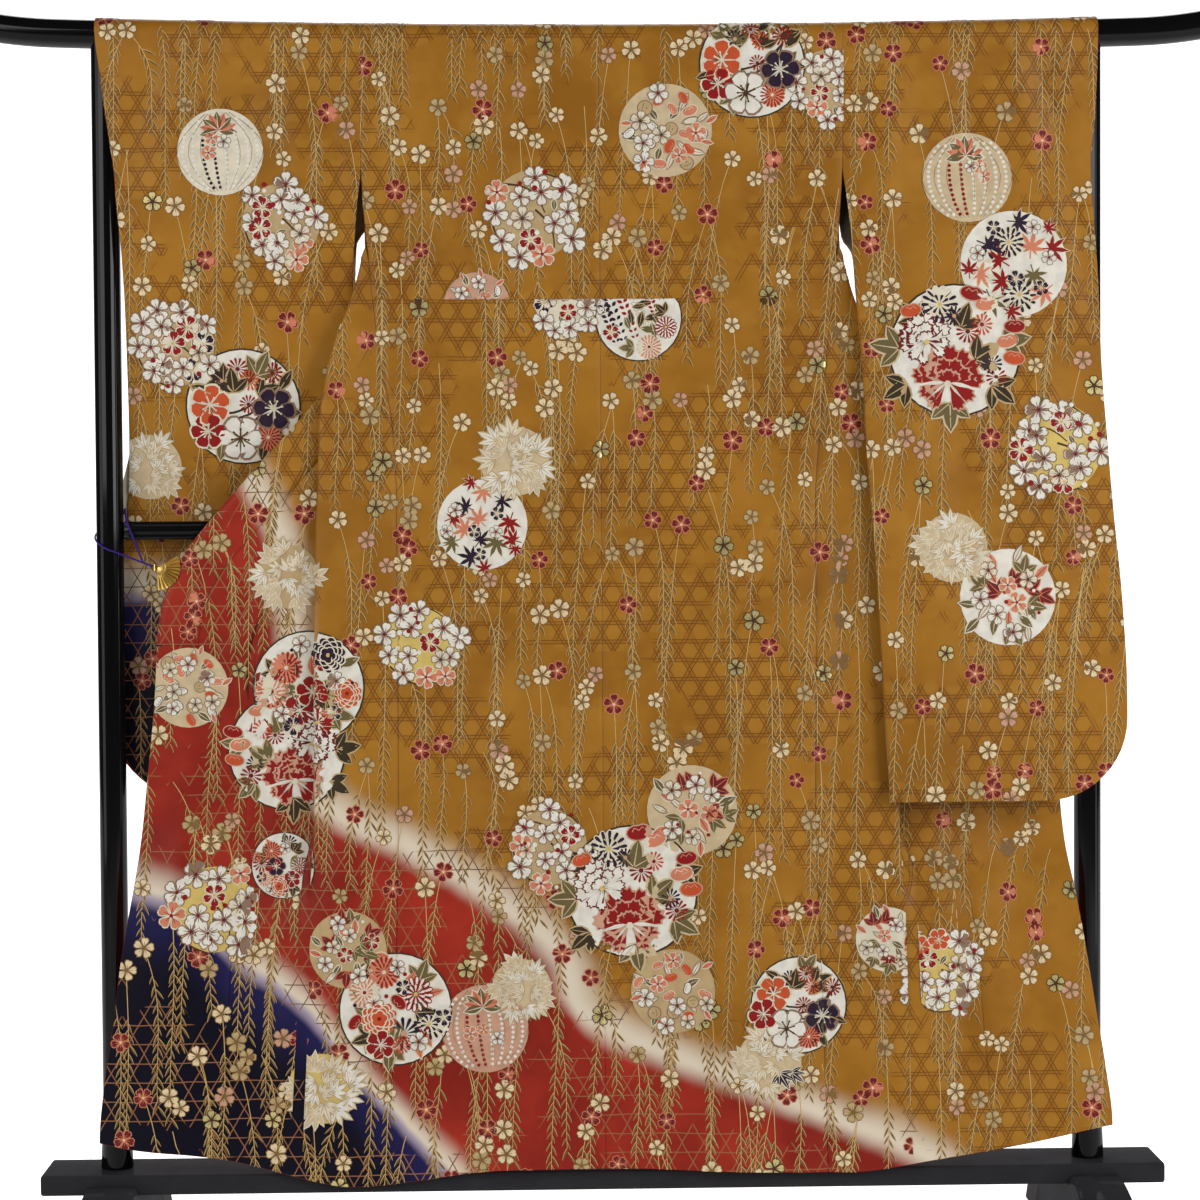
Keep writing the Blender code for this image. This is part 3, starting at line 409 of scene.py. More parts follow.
CREASES = {
    # across, height, length, turn in degrees from level, half width, depth (below zero stands out)
    "body": (
        (0.01, 0.404, 0.56, 0.5, 0.003, 0.0009),
        (0.01, 0.412, 0.56, 0.5, 0.008, -0.0012),
        (0.02, 0.682, 0.6, -0.5, 0.004, 0.0007),
        (0.3, 0.676, 0.11, 0.0, 0.0035, 0.001),
        (-0.14, 1.47, 0.16, 78.0, 0.012, 0.0014),
        (0.12, 1.5, 0.2, 84.0, 0.014, -0.0013),
        (0.235, 1.42, 0.18, 95.0, 0.011, 0.0015),
        (-0.235, 1.39, 0.15, 97.0, 0.012, 0.0014),
        (0.05, 1.19, 0.22, 92.0, 0.014, 0.0012),
        (-0.12, 1.12, 0.26, 87.0, 0.016, -0.0013),
        (0.2, 1.08, 0.3, 93.0, 0.015, 0.0014),
        (-0.21, 1.0, 0.24, 85.0, 0.013, 0.0014),
        (0.255, 0.92, 0.3, 89.0, 0.012, -0.0016),
        (0.1, 0.86, 0.26, 90.0, 0.018, 0.0012),
        (-0.05, 0.78, 0.34, 91.0, 0.018, -0.0012),
        (-0.18, 0.62, 0.3, 88.0, 0.015, 0.0014),
        (0.06, 0.56, 0.24, 94.0, 0.016, 0.0014),
        (0.23, 0.48, 0.28, 86.0, 0.015, -0.0014),
        (-0.12, 0.3, 0.22, 92.0, 0.017, 0.0014),
        (0.15, 0.24, 0.2, 87.0, 0.016, -0.0014),
        (0.318, 0.8, 0.42, 90.0, 0.009, 0.0026),
        (0.302, 0.86, 0.3, 91.0, 0.007, -0.0018),
        (-0.455, 0.7, 0.26, 77.0, 0.01, 0.003),
        (-0.425, 0.66, 0.3, 80.0, 0.012, -0.0022),
        (-0.5, 0.82, 0.16, 60.0, 0.011, 0.002),
        (-0.54, 0.86, 0.12, 42.0, 0.009, -0.0016),
        (-0.525, 0.76, 0.15, 66.0, 0.01, -0.0016),
        (-0.4, 0.9, 0.2, 70.0, 0.012, 0.0018),
        (-0.365, 0.64, 0.4, 88.0, 0.011, 0.002),
        (-0.56, 0.56, 0.3, 84.0, 0.013, -0.0018),
        (-0.48, 0.44, 0.26, 81.0, 0.014, 0.0018),
        (-0.37, 0.42, 0.26, 88.0, 0.012, -0.002),
        (-0.6, 0.3, 0.2, 86.0, 0.013, 0.0018),
        (-0.43, 0.26, 0.2, 83.0, 0.015, -0.0018),
        (0.38, 0.62, 0.3, 92.0, 0.013, 0.002),
        (0.45, 0.5, 0.32, 95.0, 0.015, -0.0018),
        (0.54, 0.56, 0.26, 97.0, 0.015, 0.0018),
        (0.6, 0.38, 0.26, 94.0, 0.014, -0.0016),
        (0.48, 0.28, 0.22, 93.0, 0.015, 0.0018),
        (0.385, 0.26, 0.22, 90.0, 0.012, -0.0018),
        (0.33, 1.18, 0.18, 108.0, 0.009, 0.0016),
        (0.42, 1.02, 0.2, 128.0, 0.012, 0.0018),
        (-0.33, 1.18, 0.16, 70.0, 0.009, 0.0014),
        (-0.42, 1.01, 0.18, 50.0, 0.011, 0.0016),
    ),
    "sleeve_left": (
        (-0.6, 1.54, 0.16, 70.0, 0.01, 0.0022),
        (-0.57, 1.5, 0.2, 74.0, 0.011, -0.0018),
        (-0.47, 1.46, 0.22, 84.0, 0.013, 0.0018),
        (-0.4, 1.48, 0.2, 90.0, 0.012, -0.0016),
        (-0.345, 1.42, 0.26, 93.0, 0.009, 0.0018),
        (-0.52, 1.33, 0.24, 80.0, 0.015, 0.0018),
        (-0.43, 1.26, 0.26, 88.0, 0.014, -0.0018),
        (-0.56, 1.16, 0.24, 84.0, 0.015, -0.0016),
        (-0.48, 1.08, 0.26, 90.0, 0.015, 0.0018),
        (-0.59, 0.96, 0.24, 88.0, 0.014, 0.0016),
        (-0.43, 0.86, 0.24, 92.0, 0.015, 0.0016),
        (-0.54, 0.78, 0.2, 86.0, 0.015, -0.0016),
        (-0.49, 0.68, 0.33, 0.0, 0.003, 0.0009),
    ),
    "sleeve_right": (
        (0.6, 1.54, 0.18, 104.0, 0.011, 0.0026),
        (0.565, 1.52, 0.2, 100.0, 0.011, -0.002),
        (0.5, 1.48, 0.22, 95.0, 0.013, 0.002),
        (0.43, 1.52, 0.16, 92.0, 0.011, 0.0018),
        (0.385, 1.44, 0.26, 86.0, 0.011, -0.0018),
        (0.35, 1.5, 0.14, 88.0, 0.008, 0.0014),
        (0.64, 1.33, 0.24, 98.0, 0.01, 0.002),
        (0.47, 1.275, 0.24, 176.0, 0.006, 0.001),
        (0.52, 1.24, 0.26, 93.0, 0.015, 0.0018),
        (0.42, 1.18, 0.28, 88.0, 0.014, -0.0018),
        (0.6, 1.06, 0.28, 95.0, 0.015, -0.0018),
        (0.48, 0.98, 0.28, 91.0, 0.016, 0.0018),
        (0.41, 0.86, 0.24, 88.0, 0.013, 0.0018),
        (0.64, 0.86, 0.22, 94.0, 0.013, 0.0016),
        (0.56, 0.8, 0.18, 92.0, 0.015, -0.0016),
        (0.54, 0.676, 0.33, 0.5, 0.0024, 0.0012),
        (0.54, 0.684, 0.33, 0.5, 0.007, -0.001),
        (0.54, 0.64, 0.32, -0.5, 0.014, 0.001),
    ),
}

CREASE_STRENGTH = 1.25


def crease_depth(group, across, height):
    """How far the creases of a group set the cloth back, away from who looks at it."""
    total = 0.0
    for middle, level, length, turn, half_width, depth in CREASES[group]:
        cosine, sine = math.cos(math.radians(turn)), math.sin(math.radians(turn))
        lengthwise = (across - middle) * cosine + (height - level) * sine
        sideways = (height - level) * cosine - (across - middle) * sine
        fade = ease((length / 2 - np.abs(lengthwise)) / (length * 0.25))
        total = total + CREASE_STRENGTH * depth * fade * np.exp(-(sideways / half_width) ** 2)
    if group == "body":
        tuck = ease((height - 1.2703) / 0.0011) * ease((1.302 - height) / 0.03)
        total = total - 0.0015 * tuck * ease((0.338 - np.abs(across)) / 0.03)
    return total


# Cloth pieces

RED_FACE = 2                # a cloth piece's slots are its right side, its lining and its red edge
MOUTH_BOTTOM = 1.386        # sleeves are open at their outer edge above this height


class Panel:
    """One cut piece of cloth, as a fine grid of its middle surface: rows run down and columns outwards.

    stretches lists (first column, last column, places in the pattern), and facing is 1 where the
    garment's right side is the side from which rows run down as columns run to the right, else -1.
    """

    def __init__(self, name, points, stretches, facing, hem=False):
        self.name = name
        self.points = np.array(points, float)
        self.stretches = [(first, last, np.array(pattern)) for first, last, pattern in stretches]
        self.facing = facing
        self.wall = COLLAR_THICK if name.startswith("collar") else FINE_WALL
        self.trim = np.zeros((self.points.shape[0] - 1, self.points.shape[1] - 1), int)
        if hem:
            self.trim[-1, :] = RED_FACE

    def corners(self):
        """Each face's four (row, column) corners, in the order that turns its front to the right side."""
        rows, columns = self.points.shape[:2]
        row, column = [grid.ravel() for grid in np.mgrid[0:rows - 1, 0:columns - 1]]
        order = ((0, 0), (1, 0), (1, 1), (0, 1)) if self.facing > 0 else ((0, 0), (0, 1), (1, 1), (1, 0))
        return np.stack([np.stack((row + down, column + out), 1) for down, out in order], 1)

    def normals(self):
        """Unit normals of the garment's right side at every point."""
        down, out = np.gradient(self.points, axis=0), np.gradient(self.points, axis=1)
        normals = np.cross(down, out) * self.facing
        return normals / (np.linalg.norm(normals, axis=2)[:, :, None] + 1e-9)

    def printed(self):
        """The stretches that take motifs, each with the faces that do; tight hidden folds take none."""
        whole = np.ones((self.points.shape[0] - 1, self.points.shape[1] - 1), bool)
        if self.name.startswith("front"):
            level = self.points[:-1, :1, 2]
            hidden = np.arange(whole.shape[1]) >= FIRST_COLUMNS + TURN_COLUMNS
            whole = (level > SIDE_TOP) | ~hidden[None, :]
            whole[:, FRONT_COLUMNS - THIRD_COLUMNS:] = True
        return [(first, last, pattern, whole) for first, last, pattern in self.stretches]

    def mesh(self, materials):
        columns = self.points.shape[1]
        corners = self.corners()
        mesh = bpy.data.meshes.new(self.name)
        faces = corners[:, :, 0] * columns + corners[:, :, 1]
        mesh.from_pydata(self.points.reshape(-1, 3).tolist(), [], faces.tolist())
        places = np.zeros((len(faces), 4, 2))
        start = corners[:, :, 1].min(1)
        for first, last, pattern in self.stretches:
            here = (start >= first) & (start < last)
            places[here] = pattern[corners[here][:, :, 0], corners[here][:, :, 1] - first]
        mesh.uv_layers.new(name="pattern").uv.foreach_set("vector", places.ravel())
        mesh.polygons.foreach_set("material_index", self.trim.ravel().astype(np.int32))
        for material in materials:
            mesh.materials.append(material)
        mesh.shade_smooth()
        return mesh


def wrapped(across, pattern_out):
    """Rows of cloth round the bar's upper half, from its far side to its near side."""
    points, pattern = [], []
    for step in range(WRAP_FINE + 1):
        turn = math.pi * step / WRAP_FINE
        axis = bar_height(across)
        points.append(np.stack((across, np.full_like(across, WRAP * math.cos(turn)),
                                axis + WRAP * math.sin(turn)), 1))
        pattern.append(np.stack((pattern_out, axis + WRAP * (math.pi - turn)), 1))
    return points, pattern


def body_levels(*more):
    """A body panel's levels, with the tuck's and the packing folds', and some more."""
    return with_levels(finely(more + (HEM_LEVEL + PIPING,)) + [HEM_LEVEL], TUCK_LEVELS + FOLD_LEVELS)


def back_panel(side):
    levels = body_levels(*SHOULDER_ROWS, *BODY_ROWS[:-1])
    count = 34
    inner = SEAM / 2
    dip = np.zeros(count + 3)
    dip[0] = dip[-1] = SEAM_DIP

    def across_at(level):
        edge = along(BODY_SIDE, level, side_column(side)) - inner
        out = mix(inner, edge, np.linspace(0, 1, count + 1))
        return side * np.concatenate(((inner, inner + SEAM_TURN), out[1:-1], (edge - SEAM_TURN, edge)))

    across = across_at(BAR_HEIGHT)
    points, pattern = wrapped(across, across)
    for level in levels:
        across = across_at(level)
        height = body_height(across, level) + hung_rise(across, level)
        depth = along(BODY_DEPTH, level, 1) + soft_fold(across, level) + crease_depth("body", across, height)
        points.append(np.stack((across, depth + dip, height), 1))
        pattern.append(np.stack((across, height), 1))
    return Panel(f"back_{SIDE_NAMES[side]}", points, [(0, count + 2, pattern)], side, hem=True)


FIRST_COLUMNS = 12
TURN_COLUMNS = 6
SECOND_COLUMNS = 22
THIRD_COLUMNS = 26
OKUMI_COLUMNS = 16
FRONT_COLUMNS = FIRST_COLUMNS + 2 * TURN_COLUMNS + SECOND_COLUMNS + THIRD_COLUMNS


def polar(reach, turn):
    return reach * math.cos(turn), reach * math.sin(turn)


def front_section(side, level):
    """Points (out, depth) across a front and its overlap piece at one level, and lengths along them."""
    first, inner_fold = along(FRONT_FOLD, level, 1), along(FRONT_FOLD, level, 2)
    ways = [along(FRONT_FOLD, level, column) * math.pi for column in (3, 4, 5)]
    turn_length = math.pi * FOLD_RADIUS
    beside = along(OPEN_GAP, level, 1)
    out, depth, run = [along(BODY_SIDE, level, side_column(side)) + beside], [0.0], [0.0]

    def walk(length, start_way, end_way, steps):
        for step in range(steps):
            way = mix(start_way, end_way, (step + 0.5) / steps)
            out.append(out[-1] + length / steps * math.cos(way))
            depth.append(depth[-1] + length / steps * math.sin(way))
            run.append(run[-1] + length / steps)

    walk(first, ways[0], ways[0], FIRST_COLUMNS)
    walk(turn_length, ways[0], ways[1], TURN_COLUMNS)
    second_depth = depth[-1]
    walk(max(SHORTEST, out[-1] - inner_fold), ways[1], ways[1], SECOND_COLUMNS)
    walk(turn_length, ways[1], ways[2], TURN_COLUMNS)
    if level > COLLAR_END:
        edge = along(COLLAR_SEAM, level, 1) - SEAM
    else:
        edge = along(FREE_EDGE, level, side_column(side))
    okumi = along(OKUMI_WIDTH, level, 1) if level <= OKUMI_TOP else 0.0
    length = max(SHORTEST, edge - out[-1] - okumi)
    turned = min(SEAM_TURN, length / THIRD_COLUMNS)
    walk(length - turned, ways[2], ways[2], THIRD_COLUMNS - 1)
    walk(turned, ways[2], ways[2], 1)
    seam_out = out[-1]
    turned = min(SEAM_TURN / (edge - seam_out + SEAM), 1 / OKUMI_COLUMNS)
    for share in np.linspace(turned, 1, OKUMI_COLUMNS):
        out.append(mix(seam_out + SEAM, edge, share))
        depth.append(depth[-1])
        run.append(run[-1])
    depth[FRONT_COLUMNS] += SEAM_DIP
    if level > SIDE_TOP:
        shift = along(BODY_DEPTH, level, 2) - second_depth
    else:
        shift = along(BODY_DEPTH, level, 1)
    return np.array(out), np.array(depth) + shift, np.array(run)


def front_row(side, level, out, depth):
    across = side * out
    height = body_height(across, level) + hung_rise(across, level)
    settled = ease((SIDE_TOP - level) / 0.05)
    depth = depth + soft_fold(across, level) + crease_depth("body", across, height) * settled
    return np.stack((across, depth, height), 1)


def stepped_levels(*rows):
    """Levels of a front, and for each the level of its section, which steps in at the collar's foot."""
    foot = COLLAR_END + END_STEP
    levels = finely(rows + (HEM_LEVEL + PIPING,)) + [HEM_LEVEL]
    levels = with_levels(levels, TUCK_LEVELS + FOLD_LEVELS + (foot - 0.0002,))
    return [(level, COLLAR_END if COLLAR_END < level < foot else level) for level in levels]


def front_panel(side):
    points, pattern, direct = [], [], []
    for level, section_level in stepped_levels(BAR_HEIGHT - SEAM, *SHOULDER_ROWS, *BODY_ROWS[:-1]):
        out, depth, run = [values[:FRONT_COLUMNS + 1] for values in front_section(side, section_level)]
        row = front_row(side, level, out, depth)
        points.append(row)
        pattern.append(np.stack((side * (out[0] + run), row[:, 2]), 1))
        direct.append(row[:, (0, 2)])
    third = FRONT_COLUMNS - THIRD_COLUMNS
    stretches = [(0, third, np.array(pattern)[:, :third + 1]),
                 (third, FRONT_COLUMNS, np.array(direct)[:, third:])]
    return Panel(f"front_{SIDE_NAMES[side]}", points, stretches, side, hem=True)


def okumi_panel(side):
    levels = stepped_levels(*BODY_ROWS[BODY_ROWS.index(OKUMI_TOP):-1])
    points = []
    for level, section_level in levels:
        out, depth, _ = [values[FRONT_COLUMNS:] for values in front_section(side, section_level)]
        out = np.append(out, out[-1])
        out[0] += SEAM
        out[-2] -= min(PIPING, out[-1] - out[-3]) / 2
        points.append(front_row(side, level, out, np.append(depth, depth[-1])))
    points = np.array(points)
    panel = Panel(f"okumi_{SIDE_NAMES[side]}", points, [(0, OKUMI_COLUMNS + 1, points[:, :, (0, 2)])],
                  side, hem=True)
    free = [index for index, (level, _) in enumerate(levels[:-1]) if level < COLLAR_END + END_STEP]
    panel.trim[free, -1] = RED_FACE
    return panel


def collar_panel(side):
    levels = finely([level for level in SHOULDER_ROWS + BODY_ROWS if COLLAR_END < level <= COLLAR_START])
    columns = 6

    def seam(level):
        out, depth, _ = front_section(side, min(level, COLLAR_START))
        return out[-1], depth[-1]

    points = []
    for row, level in enumerate(levels):
        seam_out = seam(level)[0] + (3 * SEAM if row == 0 else SEAM)
        slope = (seam(level - SLOPE_REACH)[0] - seam(level + SLOPE_REACH)[0]) / (2 * SLOPE_REACH)
        slope = max(0.0, slope) if level - SLOPE_REACH > COLLAR_END else 0.0
        run = math.hypot(slope, 1.0)
        wide = COLLAR_WIDE * np.linspace(0, 1, columns + 1)
        rise = wide * slope / run
        across = side * (seam_out + wide / run)
        settled = ease((SIDE_TOP - level) / 0.05)
        height = body_height(side * seam_out, level) + rise + (2 * SEAM if row == len(levels) - 1 else 0.0)
        depth = np.array([seam(level + up)[1] for up in rise]) + soft_fold(across, level + rise)
        depth += crease_depth("body", across, height) * settled
        points.append(np.stack((across, depth, height), 1))
    points = np.array(points)
    return Panel(f"collar_{SIDE_NAMES[side]}", points, [(0, columns, points[:, :, (0, 2)])], side)


def neck_panel():
    columns, rows = 20, 8
    depth = BAR_RADIUS + TOUCH + COLLAR_THICK / 2
    points = []
    for row in range(rows + 1):
        down = row / rows
        share = np.linspace(-1, 1, columns + 1)
        across = NECK_OUT * share
        height = bar_height(across) - SEAM - COLLAR_WIDE * down
        points.append(np.stack((across, depth + NECK_SAG * down * (1 - share * share), height), 1))
    points = np.array(points)
    return Panel("collar_neck", points, [(0, columns, points[:, :, (0, 2)] * (-1, 1))], -1)


def sleeve_out(side, near, level):
    """Distances out across a sleeve's half at one level, with its rounded corner."""
    table = SLEEVES[side]
    inner = along(table, level, 1) + SEAM / 2
    outer = along(table, level, 2 if near else 3)
    left_over = SLEEVE_CORNER - (level - SLEEVE_BOTTOM)
    if left_over > 0:
        outer -= SLEEVE_CORNER - math.sqrt(max(0.0, SLEEVE_CORNER ** 2 - left_over ** 2))
    if not near:
        inner -= FAR_SHOWS * (ease((OPEN_TOP - 0.004 - level) / 0.010)
                              * ease((level - SLIT_FOOT[side]) / 0.022))
        if side == LEFT:
            outer += FAR_SHOWS * ease((1.08 - level) / 0.07) * ease((level - SLEEVE_BOTTOM) / 0.12)
    out = mix(inner, outer, np.linspace(0, 1, SLEEVE_COLUMNS + 1))
    return np.concatenate(((out[0], out[0] + SEAM_TURN), out[1:-1], (out[-1] - PIPING, out[-1])))


def sleeve_panel(side, layer):
    """One half of a sleeve: the near one faces -Y, and the far one +Y."""
    table = SLEEVES[side]
    near = layer == "near"
    corner = [SLEEVE_BOTTOM + SLEEVE_CORNER * (1 - math.sin(math.pi / 2 * step / 12))
              for step in range(1, 13)]
    levels = finely(SHOULDER_ROWS + SLEEVE_ROWS) + corner
    group = f"sleeve_{SIDE_NAMES[side]}"
    out = sleeve_out(side, near, BAR_HEIGHT)
    if near:
        points, pattern = wrapped(side * out, side * out)
    else:
        height = bar_height(out) - SEAM
        points = [np.stack((side * out, np.full_like(out, WRAP), height), 1)]
        pattern = [np.stack((-side * out, height), 1)]
    first = len(points)
    for level in levels:
        out = sleeve_out(side, near, level)
        across = side * out
        height = level + hung_rise(across, level)
        crease = crease_depth(group, across, height)
        if near:
            depth = along(table, level, 4) + crease
        else:
            share = (out - out[0]) / (out[-1] - out[0])
            stepped = ease((share - FAR_STEP) / (1 - FAR_STEP))
            settled = ease((BAR_HEIGHT - level) / 0.06) * ease((level - SLEEVE_BOTTOM) / 0.05)
            depth = mix(along(table, level, 5), along(table, level, 6), stepped) + crease * settled
        if side == RIGHT:
            depth = depth + soft_fold(across, level)
        depth[0] += SEAM_DIP if near else -SEAM_DIP
        points.append(np.stack((across, depth, height), 1))
        pattern.append(np.stack((across if near else -across, height), 1))
    panel = Panel(f"{group}_{layer}", points, [(0, SLEEVE_COLUMNS + 2, pattern)], side if near else -side)
    open_mouth = [first + index - 1 for index, level in enumerate(levels) if level > MOUTH_BOTTOM]
    panel.trim[open_mouth, -1] = RED_FACE
    return panel


def all_panels():
    panels = [neck_panel()]
    for side in (LEFT, RIGHT):
        panels += [back_panel(side), front_panel(side), okumi_panel(side), collar_panel(side)]
        panels += [sleeve_panel(side, layer) for layer in ("near", "far")]
    return panels


# Shader building

def formula(operation, swapped=False):
    """A Wire's method that adds a Math node, with the Wire as the last value where swapped."""
    def method(self, *others):
        return self.maths(operation, *(others + (self,) if swapped else (self,) + others))
    return method


class Wire:
    """A socket of a shader tree. Sums on it add Math nodes, so that shader code reads like a formula."""

    def __init__(self, tree, socket=None):
        self.tree = tree
        self.socket = socket

    def plug(self, socket, value):
        if isinstance(value, Wire):
            self.tree.links.new(value.socket, socket)
        else:
            socket.default_value = value

    def node(self, kind, settings, inputs, output=0):
        """Add a node: its settings first, then its inputs by name or number."""
        made = self.tree.nodes.new(kind)
        for name, value in settings.items():
            setattr(made, name, value)
        for name, value in inputs.items():
            self.plug(made.inputs[name], value)
        return Wire(self.tree, made.outputs[output])

    def maths(self, operation, *values):
        return self.node("ShaderNodeMath", {"operation": operation}, dict(enumerate(values)))

    __add__ = formula("ADD")
    __radd__ = formula("ADD", swapped=True)
    __sub__ = formula("SUBTRACT")
    __rsub__ = formula("SUBTRACT", swapped=True)
    __mul__ = formula("MULTIPLY")
    __rmul__ = formula("MULTIPLY", swapped=True)
    __truediv__ = formula("DIVIDE")
    __pow__ = formula("POWER")
    size = formula("ABSOLUTE")
    fraction = formula("FRACT")
    most = formula("MAXIMUM")

    def rises(self, start, end):
        """0 before start and 1 after end, softly between; it falls where end is before start."""
        low, high = min(start, end), max(start, end)
        ends = (0.0, 1.0) if start < end else (1.0, 0.0)
        return self.node("ShaderNodeMapRange", {"interpolation_type": "SMOOTHSTEP"},
                         {"Value": self, "From Min": low, "From Max": high, "To Min": ends[0],
                          "To Max": ends[1]})

    def blend(self, factor, start, end):
        """Colours start and end mixed by factor."""
        return self.node("ShaderNodeMix", {"data_type": "RGBA"}, {0: factor, 6: start, 7: end}, 2)

    def dye(self, colour, bands):
        """A colour dyed over in bands: each dye from where this Wire is low to where it is high."""
        for low, high, dye in bands:
            colour = self.blend(self.rises(low, high), colour, dye)
        return colour

    def noise(self, place, scale, detail=2.0, roughness=0.5):
        return self.node("ShaderNodeTexNoise", {"noise_dimensions": "3D"},
                         {"Vector": place, "Scale": scale, "Detail": detail, "Roughness": roughness})

    def bump(self, strength, distance):
        """The Wire as relief, for a shader's Normal."""
        return self.node("ShaderNodeBump", {}, {"Strength": strength, "Distance": distance, "Height": self})

    def place(self, across, height, depth=0.0):
        return self.node("ShaderNodeCombineXYZ", {}, {0: across, 1: height, 2: depth})

    def split(self):
        """The x, y and z of a place."""
        outputs = self.node("ShaderNodeSeparateXYZ", {}, {"Vector": self}).socket.node.outputs
        return [Wire(self.tree, output) for output in outputs]

    def on_piece(self):
        """The place on the piece, in its own coordinates."""
        return self.node("ShaderNodeTexCoord", {}, {}, "Object")


def rgb(red, green, blue):
    """An sRGB colour from 0 to 255 as the linear colour that shaders use."""
    linear = [(value / 255 / 12.92) if value <= 10 else ((value / 255 + 0.055) / 1.055) ** 2.4
              for value in (red, green, blue)]
    return (*linear, 1.0)


def new_material(name, roughness=0.5, **constants):
    """A material with its Principled shader, the socket values that stay constant, and a Wire."""
    material = bpy.data.materials.new(name)
    material.use_nodes = True
    shader = material.node_tree.nodes["Principled BSDF"]
    shader.inputs["Roughness"].default_value = roughness
    for socket, value in constants.items():
        shader.inputs[socket.replace("_", " ")].default_value = value
    return material, shader.inputs, Wire(material.node_tree)


def feed(wire, sockets, **values):
    for socket, value in values.items():
        wire.plug(sockets[socket.replace("_", " ")], value)


# Cloth materials

GOLD_EDGE = (
    # across, height of the gold's lower edge
    (-0.7, 1.38),
    (-0.617, 1.266),
    (-0.537, 1.132),
    (-0.464, 1.039),
    (-0.444, 0.992),
    (-0.424, 0.939),
    (-0.414, 0.731),
    (-0.404, 0.625),
    (-0.343, 0.584),
    (-0.23, 0.531),
    (-0.123, 0.458),
    (-0.056, 0.397),
    (-0.036, 0.331),
    (-0.003, 0.304),
    (0.104, 0.257),
    (0.211, 0.217),
    (0.318, 0.177),
    (0.438, 0.124),
    (0.532, 0.063),
    (0.7, 0.0),
)
NAVY_EDGE = (
    # across, height of the navy's upper edge
    (-0.7, 0.512),
    (-0.624, 0.491),
    (-0.557, 0.464),
    (-0.497, 0.397),
    (-0.403, 0.331),
    (-0.343, 0.264),
    (-0.29, 0.197),
    (-0.23, 0.13),
    (-0.19, 0.093),
    (-0.11, 0.01),
    (0.0, 0.0),
)
COLLAR_FOOT = (
    # height, across: the seam under the left collar's foot, drawn dark as painted shade
    (0.74, -0.47),
    (0.757, -0.472),
    (0.82, -0.466),
    (0.856, -0.45),
    (0.9, -0.419),
    (0.92, -0.406),
)
RED_LINING_TOP = 0.94
CLOTH_SPECULAR = 0.16
SLEEVE_NAVY_EDGE = 0.892    # the left sleeve's gold fades through white to navy below here
LATTICE_PITCH = 0.0251      # between the woven lattice's parallel lines
LATTICE_TURNS = (90.0, 30.0, 150.0)

GOLD = rgb(174, 119, 36)
GOLD_LIGHT = rgb(188, 135, 50)
GOLD_DARK = rgb(150, 98, 25)
WHITE_DYE = rgb(232, 218, 194)
PALE_DYE = rgb(176, 160, 178)
RED = rgb(178, 51, 33)
RED_DEEP = rgb(136, 33, 21)
NAVY = rgb(6, 4, 24)
BLUE_DYE = rgb(38, 34, 92)
STRIP_ON_GOLD = rgb(150, 96, 44)
LINE_ON_GOLD = rgb(98, 54, 14)
LINE_ON_DYE = rgb(158, 106, 70)
# painted shade along the seam under the left collar's foot
SEAM_SHADE_PAINT = rgb(40, 18, 12)
# painted shade for the lining seen through the slits beside the sleeves
PAINTED_SHADE = rgb(52, 38, 26)


def curve_through(wire, points, key):
    """points' second column at key, both within -1 to 1.8, from a Float Curve."""
    low, span = -1.0, 2.8
    made = wire.tree.nodes.new("ShaderNodeFloatCurve")
    curve = made.mapping.curves[0]
    places = sorted(((first - low) / span, (second - low) / span) for first, second in points)
    curve.points[0].location, curve.points[1].location = places[0], places[-1]
    for place in places[1:-1]:
        curve.points.new(*place)
    for point in curve.points:
        point.handle_type = "AUTO_CLAMPED"
    made.mapping.update()
    wire.plug(made.inputs["Value"], (key - low) / span)
    return Wire(wire.tree, made.outputs[0]) * span + low


def pattern_place(wire):
    """A cloth piece's own place in the pattern, across and height, or a cord's length and turn."""
    return wire.node("ShaderNodeUVMap", {"uv_map": "pattern"}, {}).split()[:2]


def lattice(wire, across, height):
    """Split bamboo plaited in hexagons, in patches: the strips' edges and middles, strips and open cells."""
    sway = (wire.noise(wire.place(across, height), 34.0) - 0.5) * 0.003
    step = wire.maths("FLOOR", height / LATTICE_PITCH) * LATTICE_PITCH
    cover = wire.noise(wire.place(across * 0.55, height * 0.7 + step * 0.3), 7.5, 3.0)
    edges, middles, room = 0.0, 0.0, -0.5
    for index, turn in enumerate(LATTICE_TURNS):
        cosine, sine = math.cos(math.radians(turn)), math.sin(math.radians(turn))
        run = across * cosine + height * sine + sway
        apart = ((run / LATTICE_PITCH).fraction() - 0.5).size()
        loose = wire.noise(wire.place(across, height, index * 3.0), 24.0, 1.0) * 0.12
        patch = (cover + loose).rises(0.545, 0.565)
        away = apart * LATTICE_PITCH
        edges = ((away - 0.0022).size().rises(0.0009, 0.0002) * patch).most(edges)
        middles = (away.rises(0.001, 0.0003) * patch).most(middles)
        room = apart + room
    cells = room.rises(0.1, 0.32)
    patch = (cover + 0.06).rises(0.53, 0.58)
    return edges, middles, patch * (1.0 - cells), patch * cells


